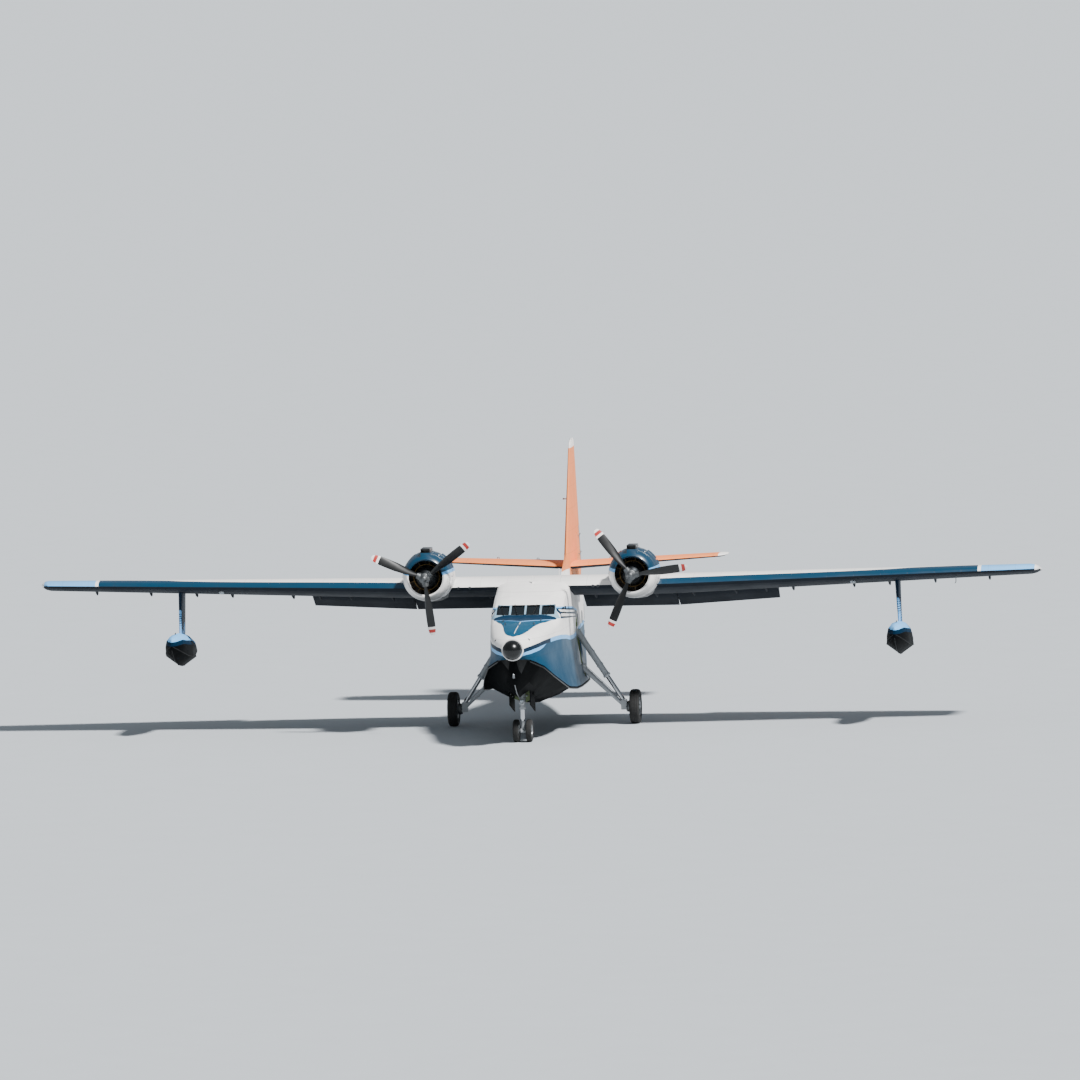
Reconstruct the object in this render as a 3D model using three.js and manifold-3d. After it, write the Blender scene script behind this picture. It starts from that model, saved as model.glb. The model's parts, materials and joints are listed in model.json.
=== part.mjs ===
// A twin-engined amphibious flying boat, parked on its wheels, in millimetres.
// +Z is up, the nose points to -Y and the port side is +X.
// The origin is on the ground under the middle of its length.
import * as THREE from "three";
import { mergeVertices } from "three/addons/utils/BufferGeometryUtils.js";
import Module from "manifold-3d";

const wasm = await Module();
wasm.setup();

// Driving dimensions
const LENGTH = 19150;
const FIT = 0.3; // gap where one piece rests on another
const SWING_GAP = 14; // between a moving surface's nose and the cove it turns in
const END_GAP = 25; // at the ends of a moving surface
const PIN = 12; // radius of the hinge pins
const PIN_PLAY = 0.6;

// Wing
const CENTRE_SPAN = 3900; // half width of the straight centre section
const TIP_START = 14480;
const HALF_SPAN = 14730;
const ROOT_CHORD = 4150;
const TIP_CHORD = 1900;
const ROOT_LEADING = 6100; // station of the leading edge, aft of the nose
const TIP_SWEEP = 900; // how much further aft it is at the tip
const QUARTER_HEIGHT = 4130; // of the quarter chord at the centre section
const DIHEDRAL = THREE.MathUtils.degToRad(1.35);
const INCIDENCE = THREE.MathUtils.degToRad(6.75);
const HINGE_SHARE = 0.75; // of the chord, where flaps and ailerons turn
const FLAP_REST = THREE.MathUtils.degToRad(26); // flaps are part down, as in flight

// Engines and propellers
const ENGINE_OUT = 3020;
const THRUST_HEIGHT = 4635;
const PROP_PLANE = 4700;
const PROP_RADIUS = 1676;
const COWL_RADIUS = 740;
const COWL_FRONT = 4900;
const COWL_BACK = 5800;
const COWL_THROAT = 500;
const CYLINDERS = 9;

// Tail
const FIN_BASE = 3950;
const FIN_TOP = 7700;
const TAIL_TOP = 7870;
const FIN_LEADING_BASE = 14600;
const FIN_LEADING_TOP = 16500;
const RUDDER_HINGE = 17350;
const FIN_SHARE = 0.604; // of the whole vertical chord, in front of the hinge
const FIN_THICKNESS = 0.055;
const STAB_HALF = 4500;
const STAB_TIP = 4725;
const STAB_HEIGHT = 4140;
const STAB_DIHEDRAL = THREE.MathUtils.degToRad(2.6);
const STAB_HINGE_SHARE = 0.64;

// Undercarriage
const MAIN_OUT = 2690;
const MAIN_STATION = 8250;
const MAIN_RADIUS = 508;
const MAIN_WIDTH = 300;
const NOSE_STATION = 2550;
const NOSE_RADIUS = 330;
const NOSE_WIDTH = 170;
const NOSE_OUT = 190;

// Floats
const FLOAT_OUT = 10605;

const PAINT = {
  white: { color: 0xe2e0df, roughness: 0.35, metalness: 0 },
  blue: { color: 0x146083, roughness: 0.35, metalness: 0 },
  black: { color: 0x12151a, roughness: 0.4, metalness: 0 },
  orange: { color: 0xe59a72, roughness: 0.4, metalness: 0 },
  paleBlue: { color: 0xa7d1f0, roughness: 0.35, metalness: 0 },
  glass: { color: 0x1c2024, roughness: 0.08, metalness: 0 },
  steel: { color: 0x8a8d90, roughness: 0.35, metalness: 0.8 },
  engine: { color: 0x3a3a3c, roughness: 0.5, metalness: 0.6 },
  rubber: { color: 0x1b1b1c, roughness: 0.85, metalness: 0 },
  cabin: { color: 0x4c5257, roughness: 0.7, metalness: 0 },
};

const group = new THREE.Group();

function station(s) {
  return s - LENGTH / 2;
}

function solid(geometry) {
  const bare = geometry.clone();
  bare.deleteAttribute("normal");
  bare.deleteAttribute("uv");
  const merged = mergeVertices(bare, 1e-3);
  const mesh = new wasm.Mesh({
    numProp: 3,
    vertProperties: Float32Array.from(merged.attributes.position.array),
    triVerts: Uint32Array.from(merged.index.array),
  });
  return new wasm.Manifold(mesh);
}

function piece(name, shape, paint) {
  const made = shape.getMesh();
  const geometry = new THREE.BufferGeometry();
  geometry.setAttribute("position", new THREE.BufferAttribute(made.vertProperties, 3));
  geometry.setIndex(new THREE.BufferAttribute(made.triVerts, 1));
  const mesh = new THREE.Mesh(geometry, new THREE.MeshStandardMaterial(PAINT[paint]));
  mesh.name = name;
  group.add(mesh);
}

function join(...solids) {
  return solids.reduce((all, next) => all.add(next));
}

// The largest of the bodies a cut leaves
function biggest(shape) {
  return shape.decompose().reduce((a, b) => (b.volume() > a.volume() ? b : a));
}

// A box between two opposite corners, with stations for the fore and aft ends
function box([x0, x1], [s0, s1], [z0, z1]) {
  const geometry = new THREE.BoxGeometry(Math.abs(x1 - x0), Math.abs(s1 - s0), Math.abs(z1 - z0));
  geometry.translate((x0 + x1) / 2, station((s0 + s1) / 2), (z0 + z1) / 2);
  return solid(geometry);
}

// A round rod, or a cone if the ends differ, between two points
function rod(a, b, r0, r1, sides) {
  const along = b.clone().sub(a);
  const geometry = new THREE.CylinderGeometry(r1, r0, along.length(), sides);
  const up = new THREE.Vector3(0, 1, 0);
  geometry.applyQuaternion(new THREE.Quaternion().setFromUnitVectors(up, along.normalize()));
  const middle = a.clone().add(b).multiplyScalar(0.5);
  geometry.translate(middle.x, middle.y, middle.z);
  return solid(geometry);
}

// The same between two points given as [x, station, z]
function bar(from, to, r0, r1 = r0, sides = 16) {
  const [a, b] = [from, to].map(([x, s, z]) => new THREE.Vector3(x, station(s), z));
  return rod(a, b, r0, r1, sides);
}

// A straight hinge between two distances out: gives the point on it at any distance out
function hingeLine(pointAt, from, to) {
  const [a, b] = [pointAt(from), pointAt(to)];
  return (out) => a.clone().lerp(b, (out - from) / (to - from));
}

function pin(line, from, to) {
  return rod(line(from), line(to), PIN, PIN, 12);
}

function bore(line, from, to) {
  return rod(line(from), line(to), PIN + PIN_PLAY, PIN + PIN_PLAY, 12);
}

// A turned shape about a fore-and-aft line: profile points are [radius, station]
function turnedAlong(x, z, profile, sides) {
  const points = profile.map(([r, s]) => new THREE.Vector2(r, s));
  const geometry = new THREE.LatheGeometry(points, sides);
  geometry.rotateZ(Math.PI);
  geometry.translate(x, LENGTH / 2, z);
  geometry.applyMatrix4(new THREE.Matrix4().makeScale(1, -1, 1));
  return facingOut(geometry);
}

// A turned shape about a sideways line: profile points are [radius, distance outboard of x]
function turnedAcross(x, s, z, side, profile, sides) {
  const points = profile.map(([r, out]) => new THREE.Vector2(r, out));
  const geometry = new THREE.LatheGeometry(points, sides);
  geometry.rotateZ(-Math.PI / 2);
  geometry.applyMatrix4(new THREE.Matrix4().makeScale(side, 1, 1));
  geometry.translate(x, station(s), z);
  return facingOut(geometry);
}

// The volume inside a closed geometry, negative when its faces point inwards
function signedVolume(position, index) {
  const a = new THREE.Vector3();
  const b = new THREE.Vector3();
  const c = new THREE.Vector3();
  let sum = 0;
  for (let i = 0; i < index.length; i += 3) {
    a.fromBufferAttribute(position, index[i]);
    b.fromBufferAttribute(position, index[i + 1]);
    c.fromBufferAttribute(position, index[i + 2]);
    sum += a.dot(b.cross(c)) / 6;
  }
  return sum;
}

function facingOut(geometry) {
  const bare = geometry.clone();
  bare.deleteAttribute("normal");
  bare.deleteAttribute("uv");
  const merged = mergeVertices(bare, 1e-3);
  const index = Array.from(merged.index.array);
  if (signedVolume(merged.attributes.position, index) < 0) index.reverse();
  merged.setIndex(index);
  return solid(merged);
}

// A closed skin through rings of points with a flat cap on each end ring's middle
function loft(rings) {
  const count = rings[0].length;
  const vertices = rings.flat(2);
  const index = [];
  for (let i = 0; i + 1 < rings.length; i++) {
    for (let j = 0; j < count; j++) {
      const k = (j + 1) % count;
      const a = i * count + j;
      const b = i * count + k;
      index.push(a, b, a + count, b, b + count, a + count);
    }
  }
  const caps = [0, rings.length - 1];
  for (const end of caps) {
    const middle = [0, 1, 2].map((n) => rings[end].reduce((sum, p) => sum + p[n], 0) / count);
    const centre = vertices.length / 3;
    vertices.push(...middle);
    for (let j = 0; j < count; j++) {
      const edge = [end * count + j, end * count + ((j + 1) % count)];
      if (end === 0) edge.reverse();
      index.push(centre, ...edge);
    }
  }
  const geometry = new THREE.BufferGeometry();
  geometry.setAttribute("position", new THREE.Float32BufferAttribute(vertices, 3));
  geometry.setIndex(index);
  return facingOut(geometry);
}

function rowAt(table, key, value) {
  const after = Math.max(1, table.findIndex((row) => row[key] >= value));
  const [low, high] = [table[after - 1], table[after]];
  const t = (value - low[key]) / (high[key] - low[key]);
  const mixed = {};
  for (const name of Object.keys(low)) mixed[name] = low[name] + (high[name] - low[name]) * t;
  return mixed;
}

// The hull, by station aft of the nose: keel height, chine half width and height, side half width
// and height where the roof's curve begins, roof height, and how square that curve is
const columns = ["at", "keel", "chine", "chineZ", "side", "shoulder", "roof", "square"];
const HULL = [
  [420, 2500, 190, 2610, 290, 2845, 3130, 2.4],
  [560, 2010, 330, 2545, 400, 2865, 3180, 2.4],
  [700, 1830, 460, 2480, 500, 2890, 3230, 2.4],
  [1250, 1510, 810, 2250, 690, 2980, 3320, 2.4],
  [2100, 1260, 1030, 1900, 830, 3080, 3430, 2.4],
  [3000, 1110, 1165, 1640, 930, 3170, 3500, 2.6],
  [3720, 1040, 1245, 1450, 1010, 3260, 3560, 2.9],
  [4180, 1000, 1275, 1400, 1040, 3420, 3890, 3.2],
  [5300, 905, 1305, 1300, 1060, 3780, 4220, 3.8],
  [6100, 840, 1300, 1265, 1080, 3960, 4395, 4],
  [6800, 790, 1295, 1240, 1080, 3960, 4390, 4],
  [8600, 735, 1265, 1220, 970, 3880, 4300, 4],
  [9500, 730, 1235, 1225, 920, 3780, 4220, 3.6],
  [9502, 940, 1150, 1330, 920, 3780, 4220, 3.6],
  [11500, 1150, 930, 1560, 870, 3520, 4080, 3],
  [13400, 1480, 700, 1880, 660, 3400, 3930, 2.6],
  [15300, 1900, 430, 2280, 440, 3250, 3790, 2.4],
  [15800, 2050, 250, 2420, 390, 3240, 3760, 2.3],
  [15802, 2420, 240, 2560, 390, 3240, 3760, 2.3],
  [17330, 3050, 90, 3150, 130, 3420, 3720, 2.2],
].map((row) => Object.fromEntries(columns.map((name, n) => [name, row[n]])));
const CHINE_CURL = 60; // how far the spray rail turns down

function hullRing(s, inset = 0) {
  const row = rowAt(HULL, "at", s);
  const keel = row.keel + inset;
  const chine = row.chine - inset;
  const side = row.side - inset;
  const roof = row.roof - inset;
  const rise = row.chineZ + CHINE_CURL - row.keel;
  const height = row.shoulder - row.chineZ;
  const half = [
    [0, keel],
    [0.45 * chine, keel + 0.42 * rise],
    [0.86 * chine, keel + rise],
    [chine, row.chineZ],
    [chine, row.chineZ + CHINE_CURL],
    [side + (chine - side) * 0.45, row.chineZ + 0.25 * height],
    [side + (chine - side) * 0.05, row.chineZ + 0.6 * height],
    [side, row.shoulder],
  ];
  for (const degrees of [18, 36, 54, 72]) {
    const angle = THREE.MathUtils.degToRad(degrees);
    const power = 2 / row.square;
    const up = Math.sin(angle) ** power;
    half.push([side * Math.cos(angle) ** power, row.shoulder + (roof - row.shoulder) * up]);
  }
  half.push([0, roof]);
  const port = half.slice(1, -1).map(([x, z]) => [-x, z]).reverse();
  return [...half, ...port].map(([x, z]) => [x, station(s), z]);
}

function hullBetween(from, to, inset = 0) {
  const inside = HULL.map((row) => row.at).filter((s) => s > from + 1 && s < to - 1);
  return loft([from, ...inside, to].map((s) => hullRing(s, inset)));
}

// Wing sections
function foilHalf(x, thick) {
  const t = 0.2969 * Math.sqrt(x) - 0.126 * x - 0.3516 * x ** 2 + 0.2843 * x ** 3 - 0.1036 * x ** 4;
  return 5 * thick * t;
}

function camber(x) {
  const [height, crest] = [0.018, 0.18];
  if (x < crest) return (height / crest ** 2) * (2 * crest * x - x ** 2);
  return (height / (1 - crest) ** 2) * (1 - 2 * crest + 2 * crest * x - x ** 2);
}

const FOIL_STEPS = [0.9, 0.75, 0.58, 0.42, 0.28, 0.16, 0.07, 0.02];

// Outline of a section in shares of the chord, from the trailing edge over the top; out is a share too
function foil(thick, out = 0, lift = camber) {
  const upper = FOIL_STEPS.map((x) => [x, lift(x) + foilHalf(x, thick) + out]);
  const lower = FOIL_STEPS.map((x) => [x, lift(x) - foilHalf(x, thick) - out]).reverse();
  return [[1 + out, 0], ...upper, [-out, 0], ...lower];
}

// A moving surface's outline: a round nose on the hinge line and straight sides to the trailing edge
function movingFoil(thick, share, lift = camber) {
  const nose = foilHalf(share, thick);
  const points = [[1, 0], [0.5 + share / 2, lift(0.5 + share / 2) + foilHalf(0.5 + share / 2, thick)]];
  for (const degrees of [90, 130, 180, 230, 270]) {
    const angle = THREE.MathUtils.degToRad(degrees);
    points.push([share + nose * Math.cos(angle), lift(share) + nose * Math.sin(angle)]);
  }
  points.push([0.5 + share / 2, lift(0.5 + share / 2) - foilHalf(0.5 + share / 2, thick)]);
  return points;
}

function wingAt(out) {
  const t = Math.max(0, (out - CENTRE_SPAN) / (TIP_START - CENTRE_SPAN));
  const past = Math.max(0, (out - TIP_START) / (HALF_SPAN - TIP_START));
  const round = Math.sqrt(1 - 0.75 * past ** 2);
  const chord = (ROOT_CHORD + (TIP_CHORD - ROOT_CHORD) * Math.min(t, 1)) * round;
  const full = ROOT_CHORD + (TIP_CHORD - ROOT_CHORD) * Math.min(t, 1);
  const leading = ROOT_LEADING + TIP_SWEEP * Math.min(t, 1) + (full - chord) * 0.55;
  return {
    chord,
    quarter: leading + chord / 4,
    height: QUARTER_HEIGHT + Math.max(0, out - CENTRE_SPAN) * Math.tan(DIHEDRAL),
    thick: (0.14 + 0.015 * Math.min(t, 1)) * round,
  };
}

// Puts a section point, in shares of the chord, into the aircraft at a distance out on one side
function onWing(side, out, [x, z]) {
  const row = wingAt(out);
  const aft = (x - 0.25) * row.chord;
  const up = z * row.chord;
  const y = aft * Math.cos(INCIDENCE) + up * Math.sin(INCIDENCE);
  const h = up * Math.cos(INCIDENCE) - aft * Math.sin(INCIDENCE);
  return [side * out, station(row.quarter + y), row.height + h];
}

function wingBetween(side, outs, gap = 0) {
  return loft(outs.map((out) => {
    const row = wingAt(out);
    return foil(row.thick, gap / row.chord).map((p) => onWing(side, out, p));
  }));
}

// The open space behind the wing's cove that a flap or aileron fills
function wingCove(side, from, to) {
  return loft([from, to].map((out) => {
    const row = wingAt(out);
    const front = HINGE_SHARE - foilHalf(HINGE_SHARE, row.thick) - SWING_GAP / row.chord;
    return [[front, 0.3], [1.3, 0.3], [1.3, -0.3], [front, -0.3]].map((p) => onWing(side, out, p));
  }));
}

function wingHinge(side, out) {
  return new THREE.Vector3(...onWing(side, out, [HINGE_SHARE, camber(HINGE_SHARE)]));
}

// Turns points about the line through two others
function turned(points, from, to, angle) {
  const spin = new THREE.Quaternion().setFromAxisAngle(to.clone().sub(from).normalize(), angle);
  return points.map((p) => new THREE.Vector3(...p).sub(from).applyQuaternion(spin).add(from).toArray());
}

function wingSurface(side, from, to, droop = 0) {
  const [a, b] = [wingHinge(side, from), wingHinge(side, to)];
  return loft([from, to].map((out) => {
    const level = movingFoil(wingAt(out).thick, HINGE_SHARE).map((p) => onWing(side, out, p));
    return turned(level, a, b, -side * droop);
  }));
}

// Wing centre section, outer panels, flaps and ailerons
const FLAP_INNER = 1120;
const FLAP_SPLIT = [CENTRE_SPAN - END_GAP / 2, CENTRE_SPAN + END_GAP / 2];
const FLAP_OUTER = 6900;
const AILERON_INNER = 6970;
const AILERON_OUTER = 13500;
const PIN_IN = 40; // how far a hinge pin reaches into the surface it carries
const PIN_ROOT = 10; // and into the wing beyond the gap

function wing() {
  const centrePins = [];
  for (const [side, hand] of [[1, "left"], [-1, "right"]]) {
    const hinge = (out) => wingHinge(side, out);
    const inner = hingeLine(hinge, FLAP_INNER, FLAP_SPLIT[0]);
    const outer = hingeLine(hinge, FLAP_SPLIT[1], FLAP_OUTER);
    const aileron = hingeLine(hinge, AILERON_INNER, AILERON_OUTER);
    centrePins.push(pin(inner, FLAP_INNER - END_GAP - PIN_ROOT, FLAP_INNER + PIN_IN));
    const pins = [
      pin(outer, FLAP_OUTER - PIN_IN, FLAP_OUTER + END_GAP + PIN_ROOT),
      pin(aileron, AILERON_INNER - END_GAP - PIN_ROOT, AILERON_INNER + PIN_IN),
      pin(aileron, AILERON_OUTER - PIN_IN, AILERON_OUTER + END_GAP + PIN_ROOT),
    ];
    const coves = [
      wingCove(side, CENTRE_SPAN - 10, FLAP_OUTER + END_GAP),
      wingCove(side, AILERON_INNER - END_GAP, AILERON_OUTER + END_GAP),
    ];
    const outs = [CENTRE_SPAN, TIP_START, TIP_START + 120, TIP_START + 200, HALF_SPAN];
    const panel = coves.reduce((left, cove) => left.subtract(cove), wingBetween(side, outs));
    piece(`wing_${hand}`, join(panel, ...pins), "white");

    const bores = [
      bore(inner, FLAP_INNER - PIN_ROOT, FLAP_INNER + PIN_IN + 20),
      bore(outer, FLAP_OUTER - PIN_IN - 20, FLAP_OUTER + PIN_ROOT),
      bore(aileron, AILERON_INNER - PIN_ROOT, AILERON_INNER + PIN_IN + 20),
      bore(aileron, AILERON_OUTER - PIN_IN - 20, AILERON_OUTER + PIN_ROOT),
    ];
    const innerFlap = wingSurface(side, FLAP_INNER, FLAP_SPLIT[0], FLAP_REST).subtract(bores[0]);
    const outerFlap = wingSurface(side, FLAP_SPLIT[1], FLAP_OUTER, FLAP_REST).subtract(bores[1]);
    const aileronSkin = wingSurface(side, AILERON_INNER, AILERON_OUTER).subtract(bores[2]).subtract(bores[3]);
    piece(`flap_inner_${hand}`, innerFlap, "blue");
    piece(`flap_outer_${hand}`, outerFlap, "blue");
    piece(`aileron_${hand}`, aileronSkin, "white");
  }
  const centre = loft([-1, 1].map((side) => {
    const row = wingAt(CENTRE_SPAN);
    return foil(row.thick).map((p) => onWing(side, CENTRE_SPAN - FIT, p));
  }));
  const coves = [1, -1].map((side) => wingCove(side, FLAP_INNER - END_GAP, CENTRE_SPAN + 10));
  const hollowed = coves.reduce((left, cove) => left.subtract(cove), centre);
  piece("wing_centre", join(hollowed, ...centrePins), "white");
}

// Hull in three lengths, with the cockpit, the aft cabin and the tail hollow
const BOW_END = 5350;
const TAIL_START = 13400;
const TAIL_END = 17310;
const WALL = 50;
const COCKPIT_FLOOR = 2350;
const COCKPIT = [3150, 5250];
const CABIN_FLOOR = 1850;
const CABIN = [10350, 13150];
const CABIN_FRONT = { from: 9700, ceiling: 3450 }; // the low stretch under the wing's trailing edge
const TAIL_HOLLOW = [13390, 17000];
const DOOR = { from: 11300, to: 12250, low: 2180, high: 3420, gap: 12 };
// The leaf is cut away near its hinge, back to the radius "swing" round the pin, so that it clears the jamb
const DOOR_HINGE = { x: 782, station: 12218, pin: 7, play: 0.6, swing: 26, cutaway: 60 };
// Cockpit windows as [x from, x to], [station from, to], [height from, to], mirrored on the other side
const WINDOWS = [
  [[25, 415], [3600, 4260], [3585, 3855]],
  [[470, 850], [3600, 4330], [3585, 3840]],
  [[700, 1300], [4440, 4770], [3450, 3740]],
  [[700, 1300], [4830, 5120], [3450, 3740]],
];
const BEYOND = 1500; // further out than any part of the hull
const WELL_FLOOR = 840; // how far out the main wheel wells reach inwards
const MAIN_WELL = { radius: 545, height: 2640, slot: 210, slotLow: 1420 };

function cockpitGlass() {
  const outer = hullBetween(...COCKPIT, WALL + FIT);
  const inner = hullBetween(...COCKPIT, WALL + 14);
  const band = box([-BEYOND, BEYOND], [3400, 5200], [3400, 3890]);
  piece("cockpit_glass", outer.subtract(inner).intersect(band), "glass");
}

function bowHull() {
  const cockpit = hullBetween(...COCKPIT, WALL)
    .intersect(box([-BEYOND, BEYOND], COCKPIT, [COCKPIT_FLOOR, 5000]));
  let bow = hullBetween(420, BOW_END - FIT).subtract(cockpit);
  for (const side of [1, -1]) {
    for (const [[x0, x1], stations, heights] of WINDOWS) {
      bow = bow.subtract(box([side * x0, side * x1], stations, heights));
    }
  }
  const well = box([-NOSE_WELL.half, NOSE_WELL.half], NOSE_WELL.stations, [500, NOSE_WELL.roof]);
  piece("bow_hull", bow.subtract(well), "blue");
}

function mainWell(side) {
  const floor = side * WELL_FLOOR;
  const round = bar([floor, MAIN_STATION, MAIN_WELL.height], [side * BEYOND, MAIN_STATION, MAIN_WELL.height],
    MAIN_WELL.radius, MAIN_WELL.radius, 24);
  const slot = box([floor, side * BEYOND], [MAIN_STATION - MAIN_WELL.slot, MAIN_STATION + MAIN_WELL.slot],
    [MAIN_WELL.slotLow, MAIN_WELL.height]);
  return round.add(slot);
}

function cabinHull() {
  const wingSpace = loft([-1, 1].map((side) => {
    const row = wingAt(0);
    return foil(row.thick, FIT / row.chord).map((p) => onWing(side, BEYOND, p));
  }));
  const inside = [CABIN_FRONT.from, CABIN[1]];
  const lined = hullBetween(...inside, WALL);
  const low = lined.intersect(box([-BEYOND, BEYOND], inside, [CABIN_FLOOR, CABIN_FRONT.ceiling]));
  const high = lined.intersect(box([-BEYOND, BEYOND], CABIN, [CABIN_FLOOR, 5000]));
  const doorway = box([500, BEYOND], [DOOR.from, DOOR.to], [DOOR.low, DOOR.high]);
  const cuts = [wingSpace, low, high, doorway, mainWell(1), mainWell(-1)];
  const middle = cuts.reduce((left, cut) => left.subtract(cut), hullBetween(BOW_END, TAIL_START - FIT));
  const pins = doorPins(DOOR_HINGE.pin, 10, 14);
  piece("cabin_hull", join(middle, ...pins), "blue");
}

// Upright pins at the doorway's sill and head, from a depth in the hull to a depth in the leaf
function doorPins(radius, outside, inside) {
  const { x, station: s } = DOOR_HINGE;
  return [
    bar([x, s, DOOR.low - outside], [x, s, DOOR.low + DOOR.gap + inside], radius, radius, 12),
    bar([x, s, DOOR.high - DOOR.gap - inside], [x, s, DOOR.high + outside], radius, radius, 12),
  ];
}

function cabinDoor() {
  const wall = hullBetween(...CABIN).subtract(hullBetween(CABIN[0] - 50, CABIN[1] + 50, WALL));
  const leaf = box([500, BEYOND], [DOOR.from + DOOR.gap, DOOR.to - DOOR.gap],
    [DOOR.low + DOOR.gap, DOOR.high - DOOR.gap]);
  const { x, station: s, swing, cutaway } = DOOR_HINGE;
  const heights = [DOOR.low, DOOR.high];
  const kept = bar([x, s, DOOR.low], [x, s, DOOR.high], swing, swing, 24)
    .add(box([x - swing, x], [s - cutaway, s], heights));
  const relief = box([x - cutaway, x], [s - cutaway, DOOR.to], heights).subtract(kept);
  const cuts = [relief, ...doorPins(DOOR_HINGE.pin + DOOR_HINGE.play, 0, 24)];
  piece("cabin_door", cuts.reduce((left, cut) => left.subtract(cut), wall.intersect(leaf)), "blue");
}

function tailHull() {
  const cuts = [hullBetween(...TAIL_HOLLOW, WALL), stabilizerLoft(FIT), rudderCove()];
  const skin = cuts.reduce((left, cut) => left.subtract(cut), hullBetween(TAIL_START, TAIL_END));
  piece("tail_hull", skin, "blue");
}

function radome() {
  const [x, z, front, back] = [0, 2845, 0, 420 - FIT];
  const profile = [[0, front]];
  for (const degrees of [15, 30, 45, 60, 75, 90]) {
    const angle = THREE.MathUtils.degToRad(degrees);
    profile.push([283 * Math.sin(angle), 283 - 283 * Math.cos(angle)]);
  }
  profile.push([270, back], [0, back]);
  piece("nose_radome", turnedAlong(x, z, profile, 24), "black");
}

function cockpitInside() {
  for (const [side, hand] of [[1, "left"], [-1, "right"]]) {
    const x = side * 500;
    const pan = box([x - 240, x + 240], [4330, 4830], [2760, 2880]);
    const foot = box([x - 180, x + 180], [4380, 4780], [COCKPIT_FLOOR + FIT, 2770]);
    const back = box([x - 240, x + 240], [4760, 4880], [2860, 3480]);
    piece(`seat_${hand}`, join(pan, foot, back), "cabin");
  }
  const board = box([-860, 860], [3560, 3660], [2850, 3330]);
  const plinth = box([-200, 200], [3500, 3950], [COCKPIT_FLOOR + FIT, 2960]);
  const shelf = box([-860, 860], [3540, 3760], [3310, 3350]);
  piece("instrument_panel", join(board, plinth, shelf), "cabin");
  const yokes = [1, -1].map((side) => join(
    bar([side * 500, 4060, COCKPIT_FLOOR + 200], [side * 500, 4120, 3020], 28, 22, 6),
    bar([side * 500 - 190, 4125, 3020], [side * 500 + 190, 4125, 3020], 20, 20, 6),
    bar([side * 500 - 180, 4125, 3010], [side * 500 - 200, 4125, 3170], 18, 18, 6),
    bar([side * 500 + 180, 4125, 3010], [side * 500 + 200, 4125, 3170], 18, 18, 6),
  ));
  const torque = bar([-560, 4060, COCKPIT_FLOOR + 210], [560, 4060, COCKPIT_FLOOR + 210], 32, 32, 8);
  const stands = [1, -1].map((side) => bar([side * 300, 4060, COCKPIT_FLOOR + FIT],
    [side * 300, 4060, COCKPIT_FLOOR + 210], 40, 30, 8));
  piece("control_columns", join(torque, ...yokes, ...stands), "cabin");
}

// Engines
function nacelleLoft(side) {
  const table = [
    [COWL_BACK, 700, THRUST_HEIGHT], [6500, 700, 4520], [7400, 600, 4360], [8300, 420, 4200],
    [8850, 170, 3990],
  ];
  return loft(table.map(([s, r, z]) => {
    const ring = [];
    for (let n = 0; n < 20; n++) {
      const angle = (n / 20) * 2 * Math.PI;
      ring.push([side * ENGINE_OUT + r * Math.cos(angle), station(s), z + r * Math.sin(angle)]);
    }
    return ring;
  }));
}

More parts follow.
